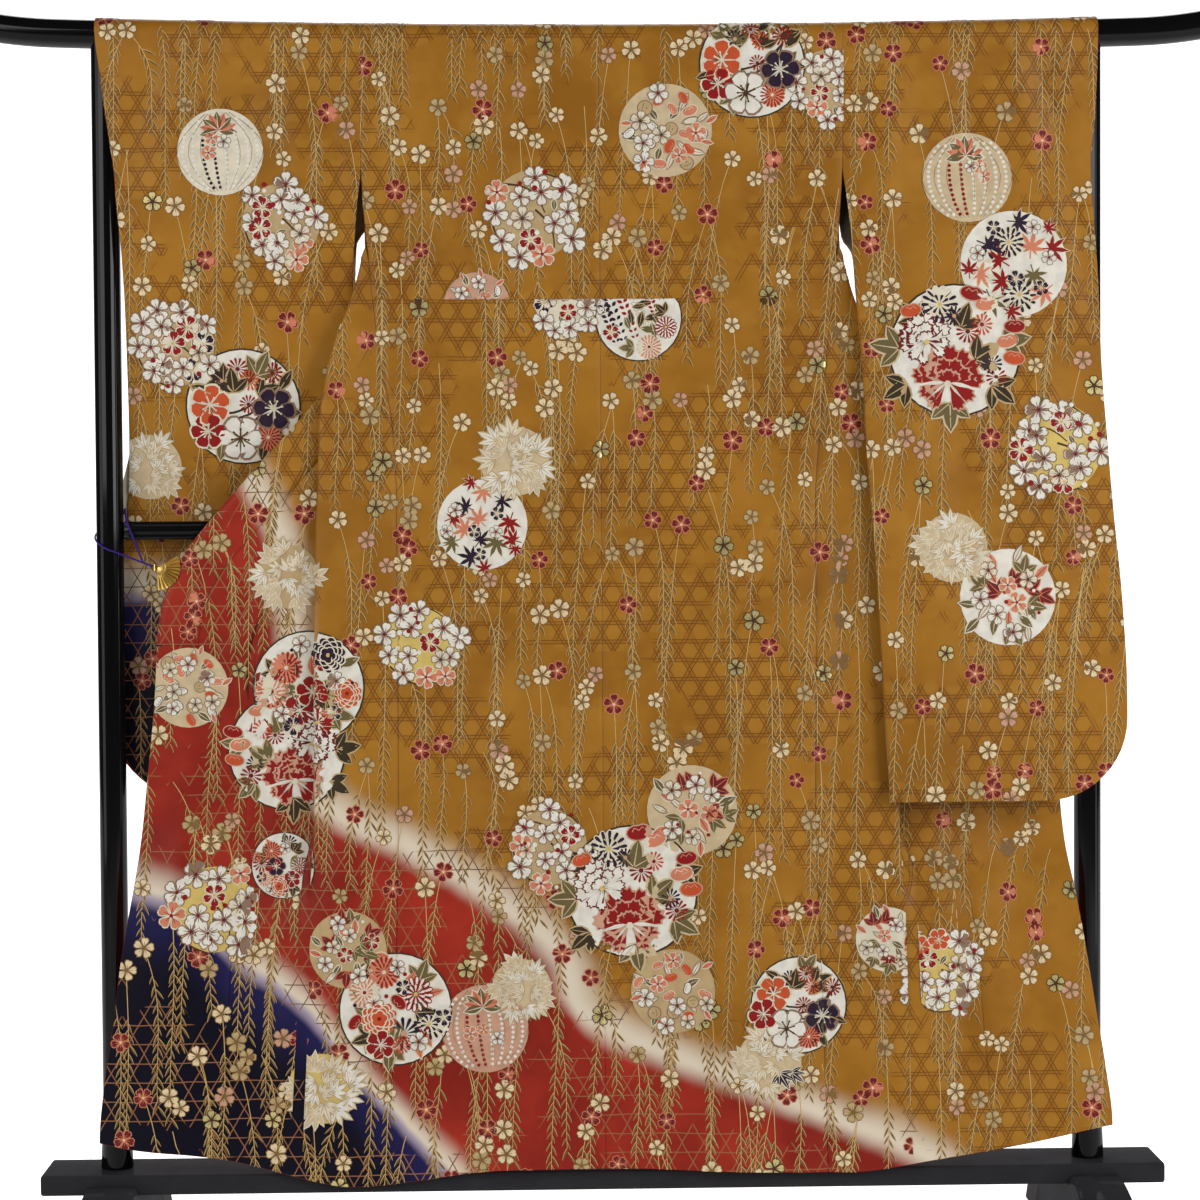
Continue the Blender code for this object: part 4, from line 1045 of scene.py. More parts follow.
def dyed_silk(name, sleeve=False):
    """Figured silk, dyed gold, red and navy, with some painted shade. The left sleeve is gold and navy only.
    """
    material, sockets, wire = new_material(name, 0.5, Specular_IOR_Level=CLOTH_SPECULAR)
    across, height = pattern_place(wire)
    spot = wire.place(across, height)
    drift = (wire.noise(spot, 7.0, 3.0) - 0.5) * 0.09
    cloud = wire.noise(spot, 5.5, 4.0, 0.6)
    edges, middles, strips, cells = lattice(wire, across, height)
    gold = wire.blend(cloud.rises(0.3, 0.66), GOLD_DARK, GOLD)
    gold = wire.blend(wire.noise(spot, 13.0, 3.0).rises(0.5, 0.72) * 0.4, gold, GOLD_LIGHT)
    gold = wire.blend(strips * 0.22, gold, STRIP_ON_GOLD)
    gold = wire.blend(cells * 0.25, gold, GOLD_LIGHT)
    if sleeve:
        apart = height - SLEEVE_NAVY_EDGE + drift * 0.5
        deep = apart.rises(-0.012, -0.026)
        # painted shade: towards the sleeve's outer edge by the post the blue is darkened to navy; the navy
        # low on the sleeve is dye
        clear_of_post_shade = (across + 0.64 + (height - 0.7) * 0.1).rises(0.004, 0.02)
        colour = wire.blend(apart.rises(-0.15, -0.02) * clear_of_post_shade * 0.8, NAVY, BLUE_DYE)
        colour = apart.dye(colour, ((-0.03, -0.012, PALE_DYE), (-0.016, -0.002, WHITE_DYE),
                                    (0.004, 0.055, gold)))
    else:
        upward = height - curve_through(wire, GOLD_EDGE, across)
        sideways = across - curve_through(wire, [(second, first) for first, second in GOLD_EDGE], height)
        slant = (upward * upward + sideways * sideways + 0.000001) ** 0.5
        apart = upward * sideways.size() / slant + drift * 0.32
        below = (height - curve_through(wire, NAVY_EDGE, across)) * 0.8 + drift * 0.4
        deep = apart.rises(-0.008, -0.022) * (1.0 - below.rises(-0.004, 0.01) * below.rises(0.045, 0.025))
        red = wire.blend(cloud.rises(0.35, 0.7), RED_DEEP, RED)
        colour = wire.blend(below.rises(-0.085, -0.004) * 0.7, NAVY, BLUE_DYE)
        colour = below.dye(colour, ((-0.012, 0.006, PALE_DYE), (0.002, 0.014, WHITE_DYE),
                                    (0.01, 0.048, red)))
        colour = apart.dye(colour, ((-0.03, 0.0, WHITE_DYE), (0.0, 0.048, gold)))
    dyed = apart.rises(0.05, 0.02)
    lines = edges * (1.0 - dyed) * 0.78 + middles * dyed * 0.95
    colour = wire.blend(lines, colour, wire.blend(deep, LINE_ON_GOLD, LINE_ON_DYE))
    if not sleeve:
        # painted shade: a dark line along the seam under the left collar's foot
        away = (across - curve_through(wire, COLLAR_FOOT, height)).size()
        thread = away.rises(0.0026, 0.001) * height.rises(0.735, 0.76) * height.rises(0.912, 0.9)
        colour = wire.blend(thread * 0.85, colour, SEAM_SHADE_PAINT)
    weave = wire.noise(wire.place(across * 1900.0, height * 1900.0), 1.0, 1.0)
    slub = wire.noise(wire.place(across * 160.0, height * 900.0), 1.0, 2.0)
    colour = wire.blend(weave.rises(0.35, 0.7) * 0.12, colour, (0.0, 0.0, 0.0, 1.0))
    feed(wire, sockets, Base_Color=colour, Roughness=0.4 + cloud * 0.12 - strips * 0.04,
         Normal=(weave * 0.5 + slub * 0.5 - lines * 0.8).bump(0.25, 0.0004))
    return material


def lining_silk():
    """Plain lining: ivory in the upper body and red below, darkened with painted shade where it shows
    through the slits beside the sleeves.
    """
    material, sockets, wire = new_material("lining", 0.55, Specular_IOR_Level=CLOTH_SPECULAR)
    across, height = pattern_place(wire)
    shade = wire.noise(wire.place(across, height), 12.0, 3.0)
    ivory = wire.blend(shade, rgb(214, 200, 172), rgb(232, 220, 196))
    red = wire.blend(shade, rgb(138, 28, 22), rgb(164, 40, 30))
    weave = wire.noise(wire.place(across * 1500.0, height * 1500.0), 1.0, 1.0)
    colour = wire.blend(height.rises(RED_LINING_TOP, RED_LINING_TOP + 0.0005), red, ivory)
    # painted shade: the lining that shows through the slits beside the sleeves is darkened here
    deep = height.rises(1.31, 1.35) * across.size().rises(0.29, 0.3) * across.size().rises(0.365, 0.35)
    feed(wire, sockets, Base_Color=wire.blend(deep * 0.9, colour, PAINTED_SHADE), Normal=weave.bump(0.2, 0.0003))
    return material


def red_piping():
    """The lining's edge, dark red, that shows along hems and sleeve openings."""
    material, sockets, wire = new_material("red_edge", 0.55, Specular_IOR_Level=CLOTH_SPECULAR)
    shade = wire.noise(wire.place(*pattern_place(wire)), 60.0, 2.0)
    feed(wire, sockets, Base_Color=wire.blend(shade, rgb(84, 22, 20), rgb(116, 34, 26)))
    return material


# Stand materials

def lacquer():
    """Black lacquer: mirror-bright on bar, posts and rail, duller and a little greyer on the beam and feet.
    """
    material, sockets, wire = new_material("black_lacquer", 0.4, Specular_IOR_Level=0.0,
                                           Coat_Roughness=0.08)
    spot = wire.on_piece()
    high = spot.split()[2].rises(BEAM_TOP + 0.0005, BEAM_TOP + 0.0015)
    wave = wire.noise(spot, 26.0, 2.0)
    fine = wire.noise(spot, 240.0, 3.0)
    # the beam and feet are a little grey, the bar, posts and rail near black
    low_grey = wire.blend(wave, (0.022, 0.022, 0.025, 1.0), (0.034, 0.034, 0.038, 1.0))
    colour = wire.blend(high, low_grey, (0.003, 0.003, 0.0035, 1.0))
    feed(wire, sockets, Base_Color=colour, Coat_Weight=high * 0.45 + 0.05,
         Normal=(wave + fine * 0.04).bump(0.05, 0.002))
    return material


def gilding():
    """Gilt sheet, a little uneven."""
    material, sockets, wire = new_material("gilt", 0.3, Metallic=1.0)
    fine = wire.noise(wire.on_piece(), 300.0, 2.0)
    feed(wire, sockets, Base_Color=wire.blend(fine, rgb(214, 170, 84), rgb(240, 208, 128)),
         Roughness=0.24 + fine * 0.12, Normal=fine.bump(0.15, 0.0003))
    return material


def braided_silk():
    """Purple silk: strands that wind along the cord's own length, darker between them as painted shade."""
    material, sockets, wire = new_material("purple_cord", 0.6, Specular_IOR_Level=0.2)
    length, turn = pattern_place(wire)
    one = ((length * 420.0 + turn * 3.0).fraction() - 0.5).size() * 2.0
    two = ((length * 420.0 - turn * 3.0).fraction() - 0.5).size() * 2.0
    strands = one.most(two)
    # the colour follows the strands' relief: painted shade in the hollows between them
    feed(wire, sockets, Base_Color=wire.blend(strands, rgb(20, 8, 56), rgb(64, 34, 138)),
         Normal=strands.bump(0.6, 0.0004))
    return material


# Pieces

def link(name, data):
    """A new object of a mesh, lamp or camera, in the scene."""
    made = bpy.data.objects.new(name, data)
    bpy.context.scene.collection.objects.link(made)
    return made


def add_piece(name, mesh, slot, *nodes):
    """Put a mesh in the scene as a piece that stands for those CAD nodes."""
    piece = link(name, mesh)
    if nodes:
        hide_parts(*nodes)
    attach(piece, "root")
    return piece


def grid_mesh(name, points, material, closed_round=True, caps=True):
    """A mesh from rings of points, closed round and capped at both ends unless told otherwise."""
    rings, count = len(points), len(points[0])
    flat = [tuple(place) for ring in points for place in ring]
    faces = []
    for ring in range(rings - 1):
        for index in range(count if closed_round else count - 1):
            after = (index + 1) % count
            faces.append((ring * count + index, ring * count + after,
                          (ring + 1) * count + after, (ring + 1) * count + index))
    if caps:
        faces.append(tuple(reversed(range(count))))
        faces.append(tuple(range((rings - 1) * count, rings * count)))
    mesh = bpy.data.meshes.new(name)
    mesh.from_pydata(flat, [], faces)
    mesh.materials.append(material)
    shape = bmesh.new()
    shape.from_mesh(mesh)
    bmesh.ops.recalc_face_normals(shape, faces=shape.faces)
    shape.to_mesh(mesh)
    shape.free()
    mesh.shade_smooth()
    mesh.set_sharp_from_angle(angle=math.radians(40))
    return mesh


def rounded(radius, edge=0.002, steps=4):
    """Ring sizes and offsets of a rounded end: (radius, how far short of the end)."""
    return [(radius - edge * (1 - math.cos(math.pi / 2 * step / steps)),
             edge * (1 - math.sin(math.pi / 2 * step / steps))) for step in range(steps, -1, -1)]


def lacquered(name, rings, material, node):
    add_piece(name, grid_mesh(name, rings, material), "black_lacquer", node)


def top_bar(material):
    sides, steps = 48, 110
    ends = rounded(BAR_RADIUS)
    near_end = BAR_END - 0.004
    stations = [(-BAR_END + back, size) for size, back in ends]
    stations += [(mix(-near_end, near_end, step / steps), BAR_RADIUS) for step in range(1, steps)]
    stations += [(BAR_END - back, size) for size, back in reversed(ends)]
    rings = []
    for across, size in stations:
        slope = (bar_height(across + 0.001) - bar_height(across - 0.001)) / 0.002
        tilt = 1 / math.hypot(1, slope)
        ring = []
        for side in range(sides):
            depth, rise = polar(size, 2 * math.pi * side / sides)
            ring.append((across - rise * slope * tilt, depth, bar_height(across) + rise * tilt))
        rings.append(ring)
    lacquered("bar", rings, material, "top_bar")


def post(side, material):
    """A turned post, hollowed at its top to carry the bar."""
    sides = 64
    bottom, top = BEAM_TOP + TOUCH, bar_height(POST_OUT) - SADDLE_DEPTH
    drawn_in = COLLAR_RADIUS - 0.0004
    profile = [(COLLAR_RADIUS - 0.0015, bottom), (COLLAR_RADIUS, bottom + 0.0015),
               (drawn_in, bottom + COLLAR_HEIGHT * 0.3)]
    for step in range(1, 13):
        share = step / 12
        profile.append((mix(drawn_in, POST_RADIUS, ease(share)),
                        bottom + COLLAR_HEIGHT * mix(0.3, 2.6, share)))
    profile += [(POST_RADIUS, height) for height in np.linspace(bottom + 0.09, top, 40)]
    profile += [(POST_RADIUS * share, top) for share in (0.96, 0.85, 0.7, 0.5, 0.3, 0.12)]
    hollow = BAR_RADIUS + TOUCH
    rings = []
    for radius, height in profile:
        ring = []
        for index in range(sides):
            out, depth = polar(radius, 2 * math.pi * index / sides)
            across = side * POST_OUT + out
            under = bar_height(across) - math.sqrt(max(0.0, hollow ** 2 - depth ** 2))
            ring.append((across, depth, min(height, under)))
        rings.append(ring)
    lacquered(f"stand_post_{SIDE_NAMES[side]}", rings, material, f"post_{SIDE_NAMES[side]}")


def moulding(name, half_length, deep, tall, middle, grooves, material, node):
    """A board along X with rounded edges and shallow grooves along its near and far faces."""
    edge = BOARD_EDGE
    outline = []
    for corner, (side_y, side_z) in enumerate(((1, 1), (-1, 1), (-1, -1), (1, -1))):
        for step in range(7):
            depth, rise = polar(edge, math.pi / 2 * (corner + step / 6))
            outline.append((side_y * (deep / 2 - edge) + depth, side_z * (tall / 2 - edge) + rise))
        if corner in (1, 3):
            facing = -1 if corner == 1 else 1
            for place in sorted(grooves, reverse=facing < 0):
                outline += [(facing * (deep / 2 - cut), place + facing * shift) for shift, cut in GROOVE]
    ends = [(half_length - back, size - edge) for size, back in rounded(edge, edge)]
    inner = half_length - 0.01
    stations = [(-across, short) for across, short in ends]
    stations += [(mix(-inner, inner, step / 24), 0.0) for step in range(25)]
    stations += reversed(ends)
    rings = [[(across, depth * (1 + 2 * short / deep), middle + rise * (1 + 2 * short / tall))
              for depth, rise in outline] for across, short in stations]
    lacquered(name, rings, material, node)


def foot(side, material):
    """An arched foot across the beam, wider at the floor, its edges rounded."""
    notch, under_beam = BEAM_DEEP / 2 + TOUCH, BEAM_TOP - BEAM_TALL - TOUCH
    far = [(FOOT_HALF_LENGTH - TOE_SLANT * TOE_ROUND * (1 - share), TOE_ROUND * share)
           for share in (0.35, 0.7, 1.0)]
    far += [(mix(FOOT_HALF_LENGTH, notch, share), mix(FOOT_TOE, FOOT_HUMP, math.sin(share * math.pi / 2)))
            for share in np.linspace(0, 1, 29)]
    tops = far + [(notch, under_beam), (-notch, under_beam)]
    tops += [(-place, height) for place, height in reversed(far)]
    arch_half = FOOT_HALF_LENGTH - FOOT_PAD
    slope = (FOOT_FLOOR_WIDE - FOOT_TOP_WIDE) / FOOT_HUMP
    rings = []
    for place, top in tops:
        share = max(0.0, 1 - (abs(place) / arch_half) ** 2)
        under = FOOT_ARCH * share ** (ARCH_FULLNESS / 2)
        low, high = FOOT_FLOOR_WIDE - slope * under, FOOT_FLOOR_WIDE - slope * top
        ring = []
        for hand, wide, height, way in ((1, high, top, -1), (-1, high, top, -1), (-1, low, under, 1),
                                        (1, low, under, 1)):
            for turn in ((0, 30, 60, 90) if hand * way < 0 else (90, 60, 30, 0)):
                out, up = polar(FOOT_EDGE, math.radians(turn))
                ring.append((side * POST_OUT + hand * (wide / 2 - FOOT_EDGE + out), place,
                             height + way * min(FOOT_EDGE - up, (top - under) * 0.4)))
        rings.append(ring)
    name = f"foot_{SIDE_NAMES[side]}"
    lacquered(f"stand_{name}", rings, material, name)


def fan_clip(material):
    """A clip with a pleated fan: its hub, its pleats, and the jaw behind the collar."""
    middle = front_section(LEFT, CLIP_HEIGHT)[1][-1] + soft_fold(-CLIP_OUT, CLIP_HEIGHT)
    plate = middle - COLLAR_THICK / 2 - PLATE_GAP
    steps = FAN_PLEATS * 4
    fan = []
    for reach, lift in FAN_RINGS:
        ring = []
        for side in (-1, 1):
            line = []
            for step in range(steps + 1):
                wave = math.cos(2 * math.pi * step / 4)
                fold = wave * PLEAT_DEPTH * ease((reach - 0.009) / 0.006)
                scallop = 1 + 0.02 * wave * (reach == FAN_RINGS[-1][0])
                out, up = polar(reach * scallop, CLIP_MIDDLE + CLIP_SPREAD * (0.5 - step / steps))
                line.append((out - CLIP_OUT, plate - lift + fold + side * FAN_THICK / 2, CLIP_HEIGHT + up))
            ring += line if side < 0 else line[::-1]
        fan.append(ring)
    barrel = []
    for height, size in BARREL_RINGS:
        wide, deep = 0.0018 * size, (0.0052 - 0.0014 * (1 - size)) * size
        barrel.append([(wide * math.cos(turn) - CLIP_OUT - 0.004, middle - 0.0006 + deep * math.sin(turn),
                        CLIP_HEIGHT + height) for turn in np.linspace(0, 2 * math.pi, 16, endpoint=False)])
    behind = middle + COLLAR_THICK / 2 + 0.0006
    jaw = [[(along_jaw - CLIP_OUT - 0.003, behind + deep, CLIP_HEIGHT + rise * (1 - along_jaw * 20))
            for deep, rise in ((0.0, -0.0025), (0.0012, -0.0025), (0.0012, 0.0025), (0.0, 0.0025))]
           for along_jaw in (0.0, 0.006, 0.012, 0.018)]
    joined = bmesh.new()
    for name, rings in (("fan", fan), ("barrel", barrel), ("jaw", jaw)):
        joined.from_mesh(grid_mesh(name, rings, material))
    mesh = bpy.data.meshes.new("fan_clip")
    joined.to_mesh(mesh)
    joined.free()
    mesh.materials.append(material)
    mesh.set_sharp_from_angle(angle=math.radians(32))
    add_piece("fan_clip", mesh, "gilt", "collar_clip")


def clip_cord(material):
    """The clip's cord, once round the post and back to itself over the rail."""
    depth = front_section(LEFT, CLIP_HEIGHT)[1][-1]
    start = np.array((-CLIP_OUT - 0.0056, depth, CLIP_HEIGHT + 0.001))
    wound = []
    for share in np.linspace(0, 1, 41):
        out, near = polar(POST_RADIUS + CORD_RADIUS + 0.0004, math.radians(-96.0 - 262.0 * share))
        wound.append((out - POST_OUT, near, mix(0.943, 0.996, share)))
    wound = np.array(wound)
    over = np.array((-0.631, -RAIL_DEEP / 2 - 0.0022, RAIL_HEIGHT + RAIL_TALL / 2))
    join = mix(start, wound[0], 0.22) + (0.0, -0.0022, 0.0)
    places = np.vstack((
        [mix(start, wound[0], share) for share in np.linspace(0, 0.96, 12)], wound,
        [mix(wound[-1], over, share) for share in (0.25, 0.5, 0.75, 1.0)],
        [mix(over, join, share) for share in np.linspace(0.12, 1.0, 9)]))
    ways = np.gradient(places, axis=0)
    ways /= np.linalg.norm(ways, axis=1)[:, None]
    runs = np.concatenate(((0.0,), np.cumsum(np.linalg.norm(np.diff(places, axis=0), axis=1))))
    rings, sides = [], 10
    for place, way in zip(places, ways):
        first = np.cross(way, (0.12, 0.35, 0.93))
        first /= np.linalg.norm(first)
        second = np.cross(way, first)
        rings.append([tuple(place + CORD_RADIUS * (first * math.cos(turn) + second * math.sin(turn)))
                      for turn in np.linspace(0, 2 * math.pi, sides, endpoint=False)])
    mesh = grid_mesh("clip_cord", rings, material)
    coordinates = mesh.uv_layers.new(name="pattern").uv
    for face in mesh.polygons:
        corners = [mesh.loops[index].vertex_index for index in face.loop_indices]
        wraps = {corner % sides for corner in corners} >= {0, sides - 1} and len(corners) == 4
        for index, corner in zip(face.loop_indices, corners):
            turn = corner % sides + (sides if wraps and corner % sides == 0 else 0)
            coordinates[index].vector = (runs[corner // sides], turn / sides)
    add_piece("braided_cord", mesh, "purple_cord", "clip_cord")


def stand(material):
    top_bar(material)
    for side in (LEFT, RIGHT):
        post(side, material)
    moulding("rail", POST_OUT - POST_RADIUS - TOUCH, RAIL_DEEP, RAIL_TALL, RAIL_HEIGHT,
             (-0.0055, 0.0055), material, "middle_rail")
    moulding("beam", BEAM_HALF_LENGTH, BEAM_DEEP, BEAM_TALL, BEAM_TOP - BEAM_TALL / 2, (), material,
             "base_beam")
    for side in (LEFT, RIGHT):
        foot(side, material)


def cloth_nodes(name):
    if name.startswith("front_"):
        return (name, name.replace("front_", "front_shoulder_"))
    return (name,)


def cloth_pieces(silk, sleeve_silk, lining, red):
    made = {}
    for panel in all_panels():
        face = sleeve_silk if panel.name.startswith("sleeve_left") else silk
        slot = "red_silk" if panel.name.startswith(("okumi", "collar_l", "collar_r")) else "gold_silk"
        piece = add_piece(f"cloth_{panel.name}", panel.mesh((face, lining, red)), slot,
                          *cloth_nodes(panel.name))
        wall = piece.modifiers.new("wall", "SOLIDIFY")
        wall.thickness = panel.wall
        wall.offset = 0.0
        wall.use_even_offset = True
        wall.material_offset = 1
        made[panel.name] = (panel, piece)
    return made


# Printed and embroidered motifs, flat in the pattern's plane

CREAM = rgb(234, 211, 168)
CREAM_LINE = rgb(134, 102, 60)
PEARL = rgb(236, 231, 217)
PEARL_LINE = rgb(146, 118, 96)
BEIGE = rgb(196, 168, 122)
BEIGE_PALE = rgb(212, 189, 150)
OLIVE_BEIGE = rgb(194, 168, 120)
OLIVE = rgb(108, 96, 58)
OLIVE_DARK = rgb(56, 46, 30)
WILLOW = rgb(118, 92, 52)
BARK = rgb(80, 52, 28)
WINE = rgb(112, 28, 30)
CRIMSON = rgb(146, 18, 20)
VERMILION = rgb(204, 84, 44)
SALMON = rgb(216, 132, 100)
ROSE = rgb(208, 160, 132)
PLUM = rgb(38, 22, 48)
IVORY = rgb(230, 219, 194)
SUN = rgb(220, 192, 108)
STRAND = rgb(212, 176, 112)
FOIL = (*rgb(240, 222, 156)[:3], 2.0)       # a tint whose alpha is 2 is gold thread

LAYER = 0.00009             # one motif layer above another
CLOTH_GAP = 0.00025         # lowest layer above the cloth
SLIVER = 2e-11              # triangles with less area are left out


class Motif:
    """Flat shapes in the pattern's plane, as triangles whose points have a tint and a layer."""

    def __init__(self):
        self.parts = []

    def shape(self, outline, tint, layer, middle=None):
        """A shape that can be seen whole from its middle."""
        outline = np.array(outline, float)
        middle = outline.mean(0) if middle is None else middle
        count = len(outline)
        ring = np.arange(count)
        faces = np.stack((np.full(count, count), ring, (ring + 1) % count), 1)
        self.parts.append((np.vstack((outline, middle)), np.full(count + 1, float(layer)),
                           np.tile(tint, (count + 1, 1)), faces))
        return self

    def line(self, path, width, tint, layer, end_width=None):
        """A line drawn along a path, from width to end_width."""
        path = np.array(path, float)
        ways = np.gradient(path, axis=0)
        ways /= np.linalg.norm(ways, axis=1)[:, None] + 1e-9
        across = np.stack((-ways[:, 1], ways[:, 0]), 1)
        half = np.linspace(width, width if end_width is None else end_width, len(path))[:, None] / 2
        places = np.stack((path - across * half, path + across * half), 1).reshape(-1, 2)
        first = np.arange(len(path) - 1) * 2
        faces = np.vstack((np.stack((first, first + 2, first + 3), 1),
                           np.stack((first, first + 3, first + 1), 1)))
        self.parts.append((places, np.full(len(places), float(layer)), np.tile(tint, (len(places), 1)),
                           faces))
        return self

    def joined(self):
        starts = np.cumsum([0] + [len(part[0]) for part in self.parts[:-1]])
        faces = np.vstack([part[3] + start for part, start in zip(self.parts, starts)])
        places, layers, tints = [np.concatenate([part[index] for part in self.parts]) for index in range(3)]
        return places, layers, tints, faces

    def add(self, other, at=(0.0, 0.0), turn=0.0, size=1.0, lift=0.0):
        """Lay another motif's arrays here, turned in degrees and sized."""
        places, layers, tints, faces = other
        cosine, sine = math.cos(math.radians(turn)) * size, math.sin(math.radians(turn)) * size
        moved = places @ np.array(((cosine, sine), (-sine, cosine))) + np.array(at)
        self.parts.append((moved, layers + lift, tints, faces))
        return self


def loop_of(reach, turns, across=0.0, up=0.0):
    """Places at a distance round (across, up), at those turns."""
    return [(across + reach * math.cos(turn), up + reach * math.sin(turn)) for turn in turns]


def petal(index, count, shares, start=90.0, scale=1.0):
    """One of count outlines round a middle, through (turn share, reach), the first at start degrees."""
    return [polar(scale * reach, math.radians(start + (index + share / 2) * 360 / count))
            for share, reach in shares]


def around(count, shares):
    """An outline that repeats (turn share, reach) count times round a middle, starting upwards."""
    return [place for index in range(count) for place in petal(index, count, shares)]


def circle(reach, count=16):
    return around(count, ((0.0, reach),))


PETAL_RIM = ((-1.0, 0.36), (-0.93, 0.62), (-0.8, 0.86), (-0.46, 0.99), (-0.14, 1.0), (0.0, 0.91),
             (0.14, 1.0), (0.46, 0.99), (0.8, 0.86), (0.93, 0.62))
PETAL_FILL = ((0.0, 0.13), (-0.62, 0.42), (-0.75, 0.64), (-0.63, 0.82), (-0.36, 0.91), (-0.12, 0.92),
              (0.0, 0.83), (0.12, 0.92), (0.36, 0.91), (0.63, 0.82), (0.75, 0.64), (0.62, 0.42))


def petals(motif, count, shares, tint, layer, start=90.0, scale=1.0):
    for index in range(count):
        motif.shape(petal(index, count, shares, start, scale), tint, layer)


def blossom(rim, fill, heart, thread=None):
    """A five-petalled cherry or plum blossom of reach 1."""
    motif = Motif().shape(around(5, PETAL_RIM), rim, 0, (0.0, 0.0))
    petals(motif, 5, PETAL_FILL, fill, 1)
    for index in range(5):
        turn = math.radians(90 + index * 72)
        motif.line([polar(0.08, turn), polar(0.55, turn)], 0.07, thread or heart, 2, 0.03)
    return motif.shape(circle(0.13, 6), heart, 3).joined()


def camellia(rim, fill, heart):
    """A flower of six round petals with a tuft of stamens."""
    motif = Motif()
    round_petal = ((0.0, 0.1), (-0.9, 0.45), (-1.05, 0.75), (-0.7, 0.98), (-0.2, 1.04), (0.3, 1.0),
                   (0.8, 0.95), (1.05, 0.72), (0.9, 0.45))
    for index in (0, 2, 4, 1, 3, 5):
        for scale, tint, lift in ((1.0, rim, 0), (0.9, fill, 1)):
            outline = [polar(reach * scale, math.radians(90 + (index + share * 0.5 * scale) * 60))
                       for share, reach in round_petal]
            motif.shape(outline, tint, index % 2 * 2 + lift)
    for index in range(7):
        turn = math.radians(index * 360 / 7)
        motif.line([(0.0, 0.0), polar(0.36, turn)], 0.07, heart, 4, 0.05)
        motif.shape(loop_of(0.06, (0, 1.57, 3.14, 4.71), *polar(0.38, turn)), heart, 5)
    return motif.joined()


def peony(rim, fill, heart):
    """A full flower seen from its side: petals in rows from the back to the front, two below."""
    ruffled = ((0.0, 0.06), (-0.55, 0.42), (-0.95, 0.68), (-0.88, 0.88), (-0.52, 0.88), (-0.3, 1.0),
               (0.0, 0.93), (0.3, 1.0), (0.52, 0.88), (0.88, 0.88), (0.95, 0.68), (0.55, 0.42))
    rows = (
        # turns from upwards, reach, half width in degrees, foot below the middle
        ((-80, -52, 52, 80, -26, 26, 0), 1.0, 19, 0.1),
        ((-118, 118, -150, 150), 0.86, 17, 0.1),
        ((-58, 58, -20, 20), 0.7, 24, 0.12),
        ((-34, 34, 0), 0.46, 30, 0.2),
    )
    motif = Motif()
    lift = 0.0
    for turns, reach, half_width, foot in rows:
        for turn in turns:
            for grow, tint in ((0.0, rim), (0.055, fill)):
                outline = []
                for share, away in ruffled:
                    way = math.radians(90 + turn + share * half_width * (1 - grow * 1.6))
                    far, up = polar(reach * away - grow * (1.0 if away > 0.3 else -1.2), way)
                    outline.append((far, up - foot))
                motif.shape(outline, tint, lift)
                lift += 0.22
    return motif.shape(loop_of(0.1, np.linspace(0, 5.4, 7), 0.0, -0.16), heart, lift).joined()


def chrysanthemum(rim, fill, heart, count=18):
    """A rayed flower in two rings of narrow petals."""
    motif = Motif().shape(around(count, ((-0.9, 0.84), (-0.45, 0.97), (0.0, 1.0), (0.45, 0.97))), rim, 0,
                          (0.0, 0.0))
    ray = ((0.0, 0.24), (-0.5, 0.78), (-0.34, 0.91), (0.0, 0.95), (0.34, 0.91), (0.5, 0.78))
    petals(motif, count, ray, fill, 1)
    motif.shape(around(count * 2 // 3, ((-0.9, 0.44), (-0.4, 0.56), (0.4, 0.56))), rim, 2, (0.0, 0.0))
    petals(motif, count * 2 // 3, ray, fill, 3, 100.0, 0.56)
    return motif.shape(circle(0.12, 8), heart, 4).joined()


def aster(tint, heart):
    """A small flower of narrow petals that stand apart."""
    motif = Motif()
    petals(motif, 13, ((0.0, 0.16), (-0.52, 0.66), (-0.5, 0.88), (0.0, 1.0), (0.5, 0.88), (0.52, 0.66)),
           tint, 0)
    return motif.shape(circle(0.2, 8), heart, 1).joined()


def bud(rim, fill):
    """A round plum flower from its side, with a light heart-shaped line."""
    motif = Motif()
    for grow, tint, layer in ((0.0, rim, 0), (0.11, fill, 1)):
        motif.shape([((1.0 - grow) * math.cos(turn), (0.66 - grow) * math.sin(turn)
                      - 0.1 * math.exp(-(6 * math.cos(turn)) ** 2) * (math.sin(turn) > 0))
                     for turn in np.linspace(0, 2 * math.pi, 16, endpoint=False)], tint, layer)
    motif.line([(-0.5, 0.1), (-0.3, 0.36), (0.0, 0.14), (0.3, 0.36), (0.5, 0.1)], 0.07, rim, 2)
    return motif.joined()


def leaf_trio(rim, fill):
    """Three broad leaves from one point."""
    motif = Motif()
    for turn, size, lift in ((52, 0.84, 0), (-52, 0.84, 0.4), (0, 1.0, 0.8)):
        motif.add(leaf(rim, fill, 0.46, rim), turn=turn, size=size, lift=lift)
    return motif.joined()


def willow_leaf():
    """Two narrow bowed leaves, left and right of the strand, each with a light line along one edge."""
    pair = Motif()
    for hand, start in ((1, 0.0), (-1, 0.34)):
        cosine, sine = math.cos(math.radians(30.0)), math.sin(math.radians(30.0))
        paths = []
        for bulge, shares in ((0.06, np.linspace(0, 1, 6)), (-0.1, (0.72, 0.45, 0.2))):
            path = []
            for share in shares:
                bow = bulge * math.sin(math.pi * share) - 0.06 * share * share
                path.append((hand * (share * sine + bow * cosine), start + share * cosine - bow * sine))
            paths.append(path)
        pair.shape(paths[0] + paths[1], WILLOW, 0).line(paths[0], 0.055, STRAND, 0.8, 0.03)
    return pair.joined()


